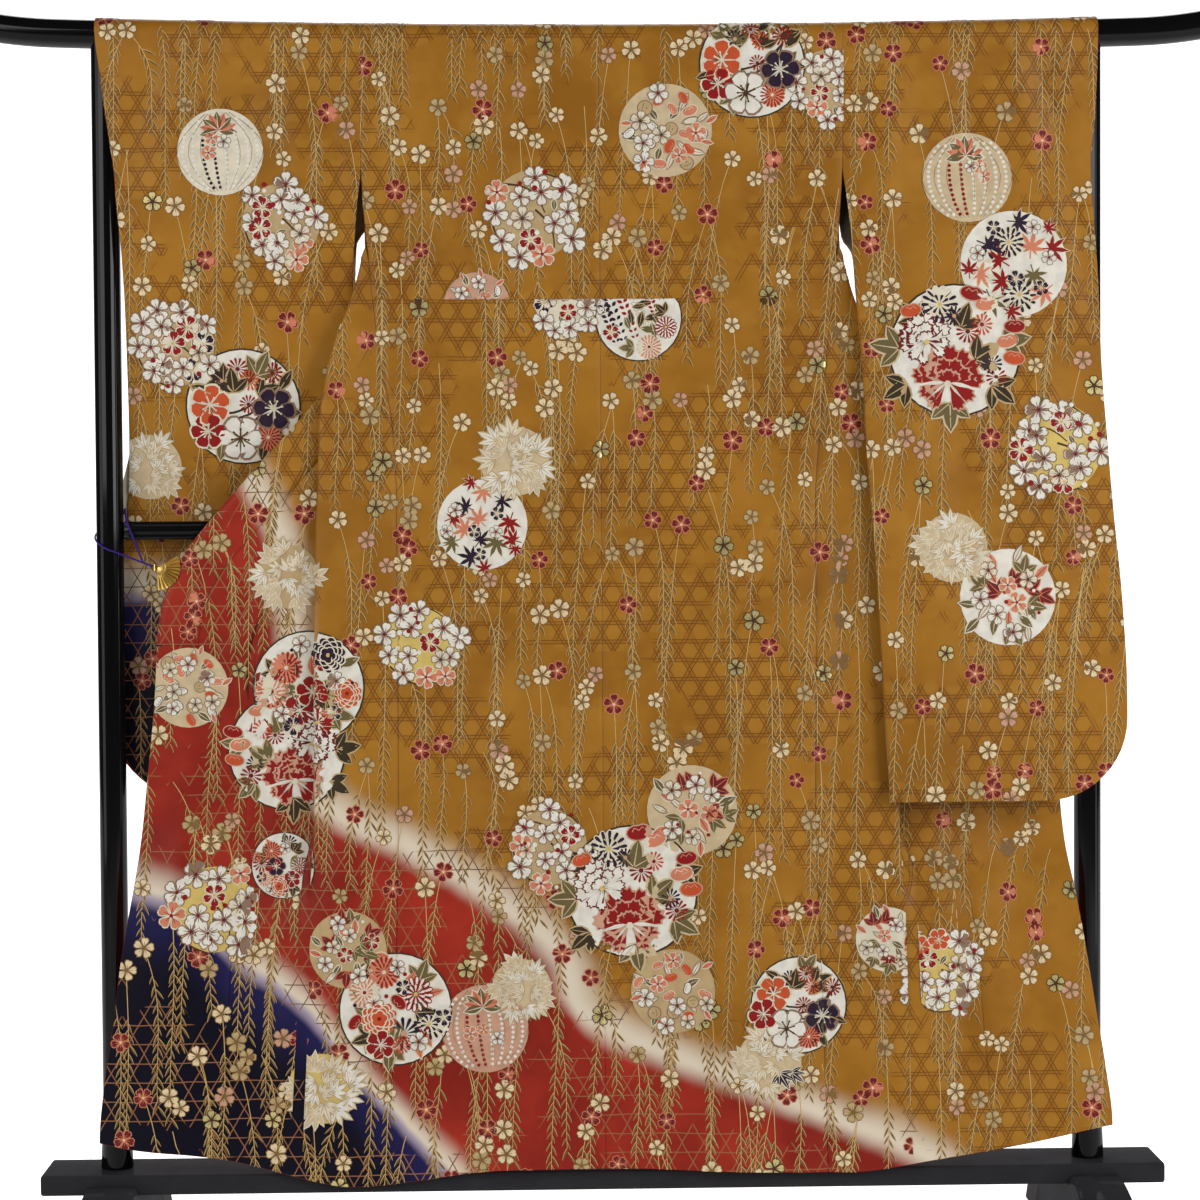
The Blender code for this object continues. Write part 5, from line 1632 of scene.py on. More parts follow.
def scaled_flower(rim, fill, heart):
    """A round chrysanthemum seen from the side, its petals laid like scales."""
    motif = Motif()
    for row, (count, scale) in enumerate(((11, 1.0), (9, 0.76), (7, 0.52), (5, 0.3))):
        for index in range(count):
            at = polar(0.74 * scale, math.radians(90 + (index + row * 0.5) * 360 / count))
            for reach, tint, above in ((0.27, rim, 0), (0.2, fill, 1)):
                motif.shape(loop_of(reach, np.linspace(0, 5.6, 8), *at), tint, row * 1.6 + above * 0.8)
    return motif.shape(circle(0.12, 6), heart, 6).joined()


def maple(rim, fill):
    """A maple leaf of seven points."""
    lobes = ((-128, 0.52), (-86, 0.8), (-43, 0.96), (0, 1.0), (43, 0.96), (86, 0.8), (128, 0.52))

    def outline(grow, valley):
        places = []
        for index, (turn, reach) in enumerate(lobes):
            for side, share, spread in ((-1, 0.62, 11), (0, 1.0, 0), (1, 0.62, 11)):
                places.append(polar(reach * share + grow, math.radians(90 + turn + side * spread)))
            if index < len(lobes) - 1:
                places.append(polar(valley + grow, math.radians(90 + (turn + lobes[index + 1][0]) / 2)))
        return places + [(0.05 + grow * 0.5, -0.12 - grow), (-0.05 - grow * 0.5, -0.12 - grow)][::-1]

    motif = Motif().shape(outline(0.09, 0.34), rim, 0, (0.0, 0.05))
    motif.shape(outline(0.0, 0.3), fill, 1, (0.0, 0.05))
    return motif.line([(0.0, -0.05), (0.06, -0.6)], 0.07, fill, 1).joined()


def leaf(rim, fill, wide=0.34, vein=None):
    """A pointed leaf from the middle to (0, 1)."""
    half = ((0.0, 0.0), (0.62, 0.2), (1.0, 0.45), (0.72, 0.72), (0.0, 1.0))
    motif = Motif()
    for grow, tint, layer in ((0.07, rim, 0), (0.0, fill, 1)):
        right = [(share * wide / 2 + (grow if 0 < place < 1 else 0), mix(-grow, 1 + grow, place))
                 for share, place in half]
        left = [(-across, height) for across, height in reversed(right[1:-1])]
        motif.shape(right + left, tint, layer)
    if vein:
        motif.line([(0.0, 0.06), (0.0, 0.88)], 0.05, vein, 2, 0.02)
    return motif.joined()


def leaf_fan(rim, fill, count=5, spread=130.0, wide=0.26):
    """Narrow leaves that spread from one point, as bamboo leaves do."""
    motif = Motif()
    blade = leaf(rim, fill, wide, rim)
    for index in range(count):
        turn = spread * (index / (count - 1) - 0.5)
        motif.add(blade, turn=turn, size=1.0 - 0.12 * abs(index - (count - 1) / 2), lift=index * 0.6)
    return motif.joined()


def bell(rim, fill):
    motif = Motif().shape(circle(1.0), rim, 0).shape(circle(0.86), fill, 1)
    motif.line([(-0.55, -0.25), (0.0, -0.34), (0.55, -0.25)], 0.1, rim, 2)
    return motif.shape([(-0.18, 0.2), (0.0, 0.32), (0.18, 0.2), (0.0, 0.08)], rim, 2).joined()


MOTIFS = {
    "cherry": blossom(PEARL_LINE, PEARL, WINE, WINE),
    "cherry_cream": blossom(PEARL_LINE, IVORY, BARK, BARK),
    "cherry_red": blossom(IVORY, CRIMSON, SUN, IVORY),
    "cherry_plum": blossom(IVORY, PLUM, SUN, IVORY),
    "cherry_rose": blossom(IVORY, SALMON, CRIMSON, CRIMSON),
    "camellia": camellia(PEARL_LINE, PEARL, BARK),
    "camellia_red": camellia(IVORY, CRIMSON, IVORY),
    "camellia_plum": camellia(PEARL_LINE, PLUM, IVORY),
    "camellia_rose": camellia(IVORY, VERMILION, IVORY),
    "peony": peony(WINE, PEARL, SUN),
    "peony_red": peony(ROSE, CRIMSON, IVORY),
    "daisy": chrysanthemum(CRIMSON, PEARL, SUN, 16),
    "daisy_red": chrysanthemum(SALMON, CRIMSON, IVORY),
    "daisy_plum": chrysanthemum(IVORY, PLUM, SUN, 14),
    "daisy_rose": chrysanthemum(IVORY, SALMON, CRIMSON),
    "aster_red": aster(CRIMSON, WINE),
    "aster_rose": aster(VERMILION, CRIMSON),
    "aster_plum": aster(PLUM, ROSE),
    "bud_red": bud(ROSE, CRIMSON),
    "bud_rose": bud(IVORY, SALMON),
    "bud_orange": bud(ROSE, VERMILION),
    "bud_pearl": bud(BARK, PEARL),
    "scaled_rose": scaled_flower(IVORY, VERMILION, CRIMSON),
    "scaled_plum": scaled_flower(IVORY, PLUM, SUN),
    "maple_red": maple(IVORY, CRIMSON),
    "maple_plum": maple(IVORY, PLUM),
    "maple_rose": maple(IVORY, SALMON),
    "maple_olive": maple(IVORY, OLIVE),
    "leaf": leaf(IVORY, OLIVE, 0.42, IVORY),
    "leaf_dark": leaf(BEIGE, OLIVE_DARK, 0.4, BEIGE),
    "leaf_rose": leaf(IVORY, SALMON, 0.4, CRIMSON),
    "leaf_cream": leaf(PEARL_LINE, IVORY, 0.3, PEARL_LINE),
    "trio": leaf_trio(BEIGE_PALE, OLIVE),
    "trio_dark": leaf_trio(BEIGE, OLIVE_DARK),
    "trio_wine": leaf_trio(SALMON, WINE),
    "fan": leaf_fan(BEIGE, IVORY),
    "fan_pearl": leaf_fan(OLIVE_BEIGE, PEARL),
    "fan_plum": leaf_fan(IVORY, PLUM),
    "fan_beige": leaf_fan(IVORY, BEIGE_PALE),
    "bell_beige": bell(PEARL_LINE, BEIGE),
    "petal_plum": leaf(PEARL, PLUM, 0.62),
    "petal_red": leaf(PEARL, CRIMSON, 0.62),
    "petal_pearl": leaf(BARK, PEARL, 0.62),
    "dot": Motif().shape(circle(1.0, 8), PEARL, 0).joined(),
    "dot_red": Motif().shape(circle(1.0, 8), CRIMSON, 0).joined(),
    "dot_plum": Motif().shape(circle(1.0, 6), PLUM, 0).joined(),
}


def ground(tint, reach=1.0, rings=6, line=None):
    """A ball's ground: a disc in many faces, so that it follows the cloth."""
    count = 32
    places, faces, before = [(0.0, 0.0)], [], 0
    for step in range(1, rings + 1):
        first = len(places)
        places += loop_of(reach * step / rings, [2 * math.pi * index / count for index in range(count)])
        for index in range(count):
            after = (index + 1) % count
            if step == 1:
                faces.append((0, first + index, first + after))
            else:
                faces.append((before + index, first + index, first + after))
                faces.append((before + index, first + after, before + after))
        before = first
    motif = Motif()
    motif.parts.append((np.array(places), np.zeros(len(places)), np.tile(tint, (len(places), 1)),
                        np.array(faces)))
    if line:
        motif.line(circle(reach, count) + [(0.0, reach)], 0.028, line, 1.0)
    return motif.joined()


def spots(chance, count, reach, apart, inner=0.0):
    """Places inside a circle that keep apart from each other, as far as they find room."""
    found = []
    for _ in range(count * 30):
        turn, away = chance.uniform(0, 2 * math.pi), math.sqrt(chance.uniform(inner ** 2, reach ** 2))
        place = (away * math.cos(turn), away * math.sin(turn))
        if all(math.dist(place, other) > apart for other in found):
            found.append(place)
        if len(found) == count:
            break
    return found


class Pile:
    """Motifs laid on a ball's ground one over another, each a little higher."""

    def __init__(self, motif, chance):
        self.motif = motif
        self.chance = chance
        self.level = 2.0

    def lay(self, name, at, size, turn=None, rise=0.16):
        turn = self.chance.uniform(0, 360) if turn is None else turn
        self.motif.add(MOTIFS[name], at, turn, size, self.level)
        self.level += rise

    def scatter(self, names, count, size, reach, apart, inner=0.0, outward=False):
        for index, at in enumerate(spots(self.chance, count, reach, apart, inner)):
            turn = math.degrees(math.atan2(at[1], at[0])) - 90 + self.chance.uniform(-35, 35)
            self.lay(names[index % len(names)], at, size * self.chance.uniform(0.85, 1.12),
                     turn if outward else None)


def twig(pile, start, end, bow, tint=BARK, width=0.045):
    across, up = end[0] - start[0], end[1] - start[1]
    path = []
    for share in np.linspace(0, 1, 9):
        middle = bow * math.sin(math.pi * share)
        path.append((mix(start[0], end[0], share) - up * middle,
                     mix(start[1], end[1], share) + across * middle))
    pile.motif.line(path, width, tint, pile.level, width * 0.5)
    pile.level += 0.1


def cherry_ball(pile, tint, rich):
    pile.motif.add(ground(tint, 0.88))
    for start, end, bow in (((-0.8, -0.3), (0.3, -0.85), -0.2), ((-0.75, 0.4), (0.2, 0.1), 0.2),
                            ((0.0, 0.1), (0.6, -0.6), 0.15), ((-0.2, 0.8), (0.7, 0.45), 0.2)):
        twig(pile, start, end, bow)
    pile.scatter(("leaf",), 3, 0.26, 0.7, 0.4)
    pile.scatter(("cherry", "cherry", rich, "cherry"), 10, 0.28, 0.9, 0.4, 0.6)
    pile.scatter(("cherry", "cherry_red", "cherry", "cherry_cream"), 7, 0.26, 0.55, 0.42)
    pile.scatter(("dot", "dot", "dot_red"), 16, 0.055, 0.95, 0.12)


PEONY_LEAVES = (
    # across, height, turn
    (0.55, 0.45, -40),
    (0.85, 0.05, -80),
    (-0.55, -0.55, 130),
    (0.1, -0.8, 180),
    (0.75, -0.5, -120),
    (-0.3, -0.15, 60),
    (-0.1, 0.35, 20),
    (-0.75, 0.1, 80),
)
PEONY_FLOWERS = (
    # motif, across, height, size
    ("aster_rose", -0.42, 0.38, 0.17),
    ("aster_red", -0.2, 0.28, 0.18),
    ("aster_plum", 0.0, 0.52, 0.16),
    ("aster_red", -0.62, -0.42, 0.18),
    ("aster_plum", -0.56, -0.22, 0.16),
    ("bud_red", -0.28, 0.86, 0.19),
    ("bud_rose", -0.5, 0.7, 0.18),
    ("bud_red", -0.92, 0.34, 0.17),
    ("bud_rose", -0.8, 0.12, 0.18),
    ("bud_orange", -0.9, -0.14, 0.17),
    ("bud_orange", 0.66, 0.62, 0.16),
)


def peony_ball(pile, tint, rich):
    """Two large peonies low, lesser ones above, with leaves, asters and plum flowers round them."""
    pile.motif.add(ground(tint, line=OLIVE_DARK))
    hand = pile.chance.choice((-1, 1))
    for across, up, turn in PEONY_LEAVES:
        pile.lay(pile.chance.choice(("trio", "trio_dark")), (hand * across, up),
                 0.4 * pile.chance.uniform(0.9, 1.15), hand * turn)
    pile.lay("peony", (hand * 0.46, 0.2), 0.44, hand * -20)
    pile.lay("peony_red", (hand * 0.12, -0.42), 0.58, hand * 6)
    pile.lay(rich, (hand * 0.22, 0.7), 0.3, hand * -12)
    for name, across, up, size in PEONY_FLOWERS:
        pile.lay(name, (hand * across, up), size * pile.chance.uniform(0.92, 1.1),
                 pile.chance.uniform(-14, 14))


def camellia_ball(pile, tint, rich):
    """Four broad camellias low on the ball, asters and grasses above them."""
    pile.motif.add(ground(tint, line=OLIVE_DARK))
    for bow in (0.2, 0.3, 0.4):
        twig(pile, (-0.85, 0.1), (0.75, 0.25 + bow), -bow, OLIVE_DARK, 0.05)
    pile.scatter(("trio_dark", "trio", "leaf_dark"), 13, 0.42, 0.74, 0.22, 0.3, outward=True)
    for name, across, up, size in (("aster_red", 0.06, 0.66, 0.19), ("aster_rose", 0.22, 0.42, 0.18),
                                   ("aster_red", 0.64, 0.46, 0.2), ("aster_plum", -0.26, 0.52, 0.18),
                                   ("aster_red", 0.1, 0.02, 0.17), ("camellia_rose", -0.56, 0.16, 0.37),
                                   ("camellia_red", -0.7, -0.28, 0.34), (rich, 0.52, -0.16, 0.4),
                                   ("camellia", -0.18, -0.52, 0.42), ("daisy_red", 0.3, -0.62, 0.24)):
        pile.lay(name, (across, up), size * pile.chance.uniform(0.95, 1.08))


def daisy_ball(pile, tint, rich):
    pile.motif.add(ground(tint, line=OLIVE_DARK))
    pile.scatter(("trio", "trio_dark", "leaf_rose", "leaf"), 15, 0.38, 0.7, 0.22, 0.15, outward=True)
    names = ("daisy_red", rich, "daisy", "scaled_rose", "aster_plum", "daisy_rose", "camellia_red",
             "aster_red")
    pile.scatter(names, 9, 0.31, 0.72, 0.44, 0.1)
    pile.scatter(("cherry", "cherry_plum", "aster_rose", "bud_red"), 9, 0.17, 0.9, 0.27)
    pile.scatter(("dot_red", "dot_plum"), 8, 0.035, 0.9, 0.16)


def maple_ball(pile, tint, rich):
    pile.motif.add(ground(tint))
    pile.scatter(("maple_red", "maple_rose", "maple_plum", "maple_olive", rich), 15, 0.33, 0.8, 0.37)
    pile.scatter(("cherry", "cherry_plum"), 6, 0.17, 0.8, 0.4)
    pile.scatter(("maple_red",), 3, 0.24, 0.98, 0.5, 0.85)


def temari_ball(pile, tint, rich):
    """A ball wound with threads: strings of pearls from its top to its foot, leaves above."""
    pile.motif.add(ground(tint))
    for index, bulge in enumerate((-0.92, -0.68, -0.42, -0.14, 0.14, 0.42, 0.68, 0.92)):
        dark = index in (2, 3)
        name = ("dot_plum" if rich == "plum" else "dot_red") if dark else "dot"
        for share in np.linspace(0.1, 0.94, 15):
            height = 0.92 - 1.84 * share
            across = bulge * math.sqrt(max(0.0, 1 - height * height)) * 0.94
            pile.lay(name, (across, height), 0.04, 0.0, rise=0.0)
        twig(pile, (bulge * 0.3, 0.9), (bulge * 0.3, -0.9), bulge * 0.44, PEARL_LINE, 0.015)
    for turn in range(-100, 101, 25):
        pile.lay("leaf_rose" if turn % 50 else "leaf", (0.0, 0.5), 0.44, turn)
    pile.scatter(("cherry_rose", "cherry"), 3, 0.18, 0.4, 0.2)


def bamboo_ball(pile, tint, rich):
    pile.motif.add(ground(tint, 0.92))
    pile.scatter(("fan", "fan_pearl", "fan_beige", rich), 12, 0.52, 0.72, 0.3, 0.1, outward=True)
    pile.scatter(("fan_pearl", "fan"), 4, 0.44, 0.35, 0.25)


def bell_ball(pile, tint, rich):
    pile.motif.add(ground(tint))
    pile.scatter(("leaf", "leaf_cream"), 14, 0.36, 0.7, 0.24, 0.2, outward=True)
    pile.scatter(("bud_pearl", "bud_orange", "bud_rose", "bell_beige"), 15, 0.17, 0.85, 0.3)
    pile.scatter(("cherry", rich, "cherry_cream"), 7, 0.22, 0.86, 0.38)
    pile.scatter(("leaf_rose",), 4, 0.28, 0.9, 0.4, 0.7, outward=True)


def ivy_ball(pile, tint, rich):
    pile.motif.add(ground(tint))
    pile.scatter(("trio_wine", "leaf_cream", "trio", "leaf_rose", "leaf"), 20, 0.4, 0.74, 0.22, 0.1,
                 outward=True)
    pile.scatter(("cherry", rich, "cherry_cream"), 7, 0.22, 0.75, 0.36)
    pile.scatter(("dot", "dot_red"), 8, 0.04, 0.85, 0.15)


WISTERIA_STRINGS = (
    # across, top, length, motif
    (-0.68, 0.5, 0.85, "petal_plum"),
    (-0.5, 0.62, 1.15, "petal_plum"),
    (-0.22, 0.6, 1.0, "petal_red"),
    (0.08, 0.55, 0.9, "petal_pearl"),
    (0.4, 0.6, 0.7, "petal_red"),
)
WISTERIA_SPRAY = (
    # motif, across, height, size, turn
    ("leaf_dark", -0.2, 0.8, 0.4, 100),
    ("leaf", 0.2, 0.78, 0.44, -80),
    ("leaf_dark", 0.5, 0.72, 0.38, -110),
    ("trio_dark", 0.62, -0.1, 0.3, 30),
    ("trio", -0.35, -0.62, 0.34, 70),
    ("daisy_rose", 0.0, -0.72, 0.3, 0),
    ("daisy", 0.52, -0.42, 0.27, 0),
)


def wisteria_ball(pile, tint, rich):
    """Hanging strings of paired petals under a spray of leaves, two round flowers at the foot."""
    pile.motif.add(ground(tint, line=OLIVE_DARK))
    for across, top, length, name in WISTERIA_STRINGS:
        for share in [step / 7 for step in range(8)]:
            for hand in (-1, 1):
                pile.lay(name, (across + hand * 0.015, top - length * share), 0.15 * (1 - 0.35 * share),
                         hand * -52, rise=0.0)
    pile.level += 0.4
    pile.scatter(("leaf_dark", "leaf"), 9, 0.34, 0.34, 0.16)
    for name, across, up, size, turn in WISTERIA_SPRAY:
        pile.lay(name, (across, up), size, turn)
    pile.lay(rich, (-0.72, -0.1), 0.20, 0)


BALL_KINDS = {"cherry": cherry_ball, "peony": peony_ball, "daisy": daisy_ball, "maple": maple_ball,
              "camellia": camellia_ball, "temari": temari_ball, "bamboo": bamboo_ball, "bell": bell_ball,
              "ivy": ivy_ball, "wisteria": wisteria_ball}

BALLS = {
    # across, height, radius, kind, ground, accent, and the side of the tuck that a cut ball lies on
    "body": (
        (-0.087, 1.382, 0.067, "cherry", OLIVE_BEIGE, "cherry_rose"),
        (-0.163, 1.262, 0.044, "bell", ROSE, "cherry_rose", "above"),
        (0.088, 1.493, 0.062, "bell", BEIGE_PALE, "cherry_rose"),
        (0.204, 1.58, 0.07, "camellia", PEARL, "camellia_plum"),
        (0.305, 1.553, 0.053, "cherry", BEIGE, "cherry_rose"),
        (-0.043, 1.268, 0.05, "cherry", IVORY, "cherry_plum", "below"),
        (0.051, 1.245, 0.057, "wisteria", PEARL, "cherry_red", "below"),
        (-0.114, 1.056, 0.05, "bamboo", BEIGE_PALE, "fan_pearl"),
        (-0.158, 0.972, 0.06, "maple", PEARL, "maple_plum"),
        (-0.24, 0.812, 0.058, "cherry", SUN, "cherry_rose"),
        (-0.072, 0.544, 0.057, "cherry", BEIGE, "cherry_rose"),
        (0.118, 0.591, 0.06, "ivy", BEIGE_PALE, "cherry_rose"),
        (0.037, 0.484, 0.087, "peony", PEARL, "daisy_plum"),
        (0.091, 0.351, 0.056, "bell", BEIGE, "cherry_rose"),
        (0.258, 0.331, 0.064, "camellia", PEARL, "camellia_plum"),
        (0.218, 0.257, 0.047, "bamboo", BEIGE_PALE, "fan_plum"),
        (-0.11, 0.357, 0.043, "bamboo", BEIGE_PALE, "fan_beige"),
        (-0.277, 0.331, 0.074, "daisy", PEARL, "daisy_plum"),
        (-0.159, 0.304, 0.058, "temari", ROSE, "red"),
        (-0.374, 0.228, 0.05, "bamboo", SUN, "fan_pearl"),
        (-0.417, 0.905, 0.046, "bamboo", BEIGE, "fan_beige"),
        (-0.39, 0.758, 0.074, "daisy", PEARL, "scaled_plum"),
        (-0.42, 0.672, 0.078, "peony", PEARL, "camellia_red"),
        (-0.55, 0.758, 0.053, "bell", BEIGE_PALE, "cherry_cream"),
        (-0.517, 0.464, 0.063, "cherry", SUN, "cherry_rose"),
        (-0.426, 0.52, 0.043, "daisy", PEARL, "camellia_plum"),
        (-0.34, 0.411, 0.051, "ivy", BEIGE, "cherry_red"),
        (0.378, 0.417, 0.043, "ivy", IVORY, "cherry_rose"),
        (0.449, 0.371, 0.058, "cherry", SUN, "camellia_rose"),
        (-0.44, 1.5, 0.06, "maple", PEARL, "maple_plum"),
        (0.45, 1.47, 0.062, "daisy", PEARL, "camellia_plum"),
    ),
    "sleeve_left": (
        (-0.421, 1.373, 0.058, "cherry", BEIGE, "cherry_rose"),
        (-0.5, 1.466, 0.057, "temari", IVORY, "plum"),
        (-0.566, 1.212, 0.06, "cherry", BEIGE, "cherry_plum"),
        (-0.477, 1.132, 0.076, "camellia", PEARL, "camellia_plum"),
        (-0.604, 1.052, 0.047, "bamboo", BEIGE_PALE, "fan_pearl"),
        (-0.44, 0.8, 0.06, "peony", PEARL, "camellia_plum"),
    ),
    "sleeve_right": (
        (0.489, 1.429, 0.06, "temari", BEIGE_PALE, "red"),
        (0.548, 1.313, 0.071, "maple", PEARL, "daisy_plum"),
        (0.469, 1.199, 0.087, "peony", PEARL, "daisy_plum"),
        (0.605, 1.069, 0.067, "cherry", SUN, "cherry_red"),
        (0.465, 0.938, 0.05, "bamboo", BEIGE_PALE, "fan_beige"),
        (0.538, 0.872, 0.064, "ivy", PEARL, "cherry_rose"),
    ),
    "far_left": (
        (0.43, 1.48, 0.06, "cherry", BEIGE, "cherry_rose"),
        (0.54, 1.4, 0.068, "daisy", PEARL, "camellia_plum"),
        (0.46, 1.16, 0.074, "peony", PEARL, "daisy_plum"),
        (0.56, 1.08, 0.05, "bamboo", BEIGE_PALE, "fan_pearl"),
        (0.48, 0.83, 0.062, "maple", PEARL, "maple_plum"),
    ),
    "far_right": (
        (-0.46, 1.46, 0.062, "maple", PEARL, "maple_plum"),
        (-0.58, 1.36, 0.058, "temari", IVORY, "red"),
        (-0.5, 1.18, 0.08, "peony", PEARL, "camellia_plum"),
        (-0.59, 1.02, 0.06, "cherry", SUN, "cherry_red"),
        (-0.47, 0.9, 0.052, "bamboo", BEIGE_PALE, "fan_beige"),
        (-0.58, 0.76, 0.06, "daisy", PEARL, "daisy_plum"),
    ),
}
BALL_LAYER = 6.0
BLOSSOM_LAYER = 2.4
FIRST_SEED = 300
TUCK_CUT = 1.2708


def ball_motifs(group, chance):
    made = Motif()
    for across, height, radius, kind, tint, accent, *cut in BALLS[group]:
        ball = Motif()
        BALL_KINDS[kind](Pile(ball, chance), tint, accent)
        turn = chance.uniform(-25, 25)
        placed = Motif().add(ball.joined(), (across, height), turn, radius, BALL_LAYER)
        places = placed.parts[0][0]
        if cut:
            drawn_in = np.maximum if cut[0] == "above" else np.minimum
            places[:, 1] = drawn_in(places[:, 1], TUCK_CUT)
        made.parts += placed.parts
    return made


# Willow strands and loose blossoms, grown with Geometry Nodes

FIELDS = {
    # group: from across, to across, lowest, highest
    "body": (-0.7, 0.7, 0.08, 1.69),
    "sleeve_left": (-0.672, -0.312, 0.6, 1.69),
    "sleeve_right": (0.32, 0.702, 0.6, 1.69),
    "far_left": (0.312, 0.672, 0.6, 1.63),
    "far_right": (-0.702, -0.32, 0.6, 1.63),
}
STRAND_GAP = 0.03          # between neighbouring strands
LEAF_GAP = 0.0125
LOOSE = {
    # name: motif, share of all loose blossoms, reach
    "cream": (blossom(CREAM_LINE, CREAM, CREAM_LINE), 0.38, 0.0138),
    "red": (blossom(SALMON, WINE, CREAM, SALMON), 0.22, 0.014),
    "olive": (blossom(CREAM_LINE, OLIVE_BEIGE, CREAM_LINE), 0.18, 0.0134),
    "rose": (blossom(CREAM_LINE, ROSE, CREAM_LINE), 0.12, 0.0134),
    "shining": (blossom(BARK, FOIL, BARK), 0.1, 0.0138),
}


def store(mesh, name, kind, values):
    """Keep a value for each point of a mesh."""
    field = "color" if kind == "FLOAT_COLOR" else "value"
    mesh.attributes.new(name, kind, "POINT").data.foreach_set(field, np.ravel(values))


def motif_object(name, motif):
    """A motif as a flat mesh that keeps each point's tint and layer."""
    places, layers, tints, faces = motif
    mesh = bpy.data.meshes.new(name)
    flat = np.hstack((places, np.zeros((len(places), 1))))
    mesh.from_pydata(flat.tolist(), [], faces.tolist())
    store(mesh, "tint", "FLOAT_COLOR", tints)
    store(mesh, "layer", "FLOAT", layers)
    return bpy.data.objects.new(name, mesh)


def motif_arrays(mesh):
    """The places, layers, tints and triangles of a flat mesh."""
    count = len(mesh.vertices)
    places, layers, tints = np.zeros(count * 3), np.zeros(count), np.zeros(count * 4)
    mesh.vertices.foreach_get("co", places)
    mesh.attributes["layer"].data.foreach_get("value", layers)
    mesh.attributes["tint"].data.foreach_get("color", tints)
    faces = np.zeros(len(mesh.polygons) * 3, np.int32)
    mesh.polygons.foreach_get("vertices", faces)
    return places.reshape(-1, 3)[:, :2], layers, tints.reshape(-1, 4), faces.reshape(-1, 3)


def new_tree(name, inputs):
    """A node group with named inputs: its tree, its input sockets as Wires, and their identifiers."""
    tree = bpy.data.node_groups.new(name, "GeometryNodeTree")
    tree.interface.new_socket("Geometry", in_out="OUTPUT", socket_type="NodeSocketGeometry")
    keys = {}
    for title, kind in (("Geometry", "Geometry"), *inputs):
        made = tree.interface.new_socket(title, in_out="INPUT", socket_type=f"NodeSocket{kind}")
        keys[title] = made.identifier
    start = tree.nodes.new("NodeGroupInput")
    return tree, {title: Wire(tree, start.outputs[title]) for title in keys}, keys


def finish_tree(tree, geometry, material):
    whole = geometry.node("GeometryNodeRealizeInstances", {}, {"Geometry": geometry})
    whole = whole.node("GeometryNodeSetMaterial", {}, {"Geometry": whole, "Material": material})
    whole.plug(tree.nodes.new("NodeGroupOutput").inputs["Geometry"], whole)


def leaf_tree():
    """Pairs of leaves along each strand that point down its way."""
    tree, given, keys = new_tree("willow leaves", (
        ("Leaf", "Object"), ("Spacing", "Float"), ("Sway", "Float"), ("Bare Share", "Float"),
        ("Smallest", "Float"), ("Largest", "Float"), ("Seed", "Int"), ("Material", "Material")))
    wire = Wire(tree)
    strand = wire.node("GeometryNodeMeshToCurve", {}, {"Mesh": given["Geometry"]})
    strand = wire.node("GeometryNodeResampleCurve", {"mode": "LENGTH"},
                       {"Curve": strand, "Length": given["Spacing"]})
    tangent = wire.node("GeometryNodeInputTangent", {}, {})
    heading = wire.node("FunctionNodeAlignRotationToVector", {"axis": "Y", "pivot_axis": "Z"},
                        {"Vector": tangent})
    sway = wire.node("FunctionNodeRandomValue", {"data_type": "FLOAT"},
                     {2: -1.0, 3: 1.0, "Seed": given["Seed"]}, 1)
    lean = wire.node("FunctionNodeEulerToRotation", {}, {0: wire.place(0.0, 0.0, given["Sway"] * sway)})
    turned = wire.node("FunctionNodeRotateRotation", {"rotation_space": "LOCAL"},
                       {"Rotation": heading, "Rotate By": lean})
    size = wire.node("FunctionNodeRandomValue", {"data_type": "FLOAT"},
                     {2: given["Smallest"], 3: given["Largest"], "Seed": given["Seed"]}, 1)
    share = wire.node("GeometryNodeSplineParameter", {}, {}, "Factor")
    leafy = wire.maths("GREATER_THAN", share, given["Bare Share"])
    blade = wire.node("GeometryNodeObjectInfo", {}, {"Object": given["Leaf"]}, "Geometry")
    leaves = wire.node("GeometryNodeInstanceOnPoints", {},
                       {"Points": strand, "Selection": leafy, "Instance": blade, "Rotation": turned,
                        "Scale": size})
    finish_tree(tree, leaves, given["Material"])
    return tree, keys


def blossom_tree():
    """One of a collection's blossoms on each point, by the point's own kind, turn and reach."""
    tree, given, keys = new_tree("loose blossoms", (
        ("Blossoms", "Collection"), ("Size", "Float"), ("Material", "Material")))
    wire = Wire(tree)
    kinds = wire.node("GeometryNodeCollectionInfo", {},
                      {"Collection": given["Blossoms"], "Separate Children": True,
                       "Reset Children": True})

    def own(name, kind):
        return wire.node("GeometryNodeInputNamedAttribute", {"data_type": kind}, {"Name": name})

    turned = wire.node("FunctionNodeEulerToRotation", {}, {0: wire.place(0.0, 0.0, own("turn", "FLOAT"))})
    laid = wire.node("GeometryNodeInstanceOnPoints", {},
                     {"Points": given["Geometry"], "Instance": kinds, "Pick Instance": True,
                      "Instance Index": own("kind", "INT"), "Rotation": turned,
                      "Scale": own("reach", "FLOAT") * given["Size"]})
    finish_tree(tree, laid, given["Material"])
    return tree, keys


def grown(mesh, tree, keys, values):
    """The flat mesh that a tree makes from a mesh, as motif arrays."""
    seed = link(mesh.name, mesh)
    growth = seed.modifiers.new("growth", "NODES")
    growth.node_group = tree
    for title, value in values.items():
        growth[keys[title]] = value
    bpy.context.view_layer.update()
    result = bpy.data.meshes.new_from_object(seed.evaluated_get(bpy.context.evaluated_depsgraph_get()))
    arrays = motif_arrays(result)
    bpy.data.objects.remove(seed)
    bpy.data.meshes.remove(result)
    return arrays


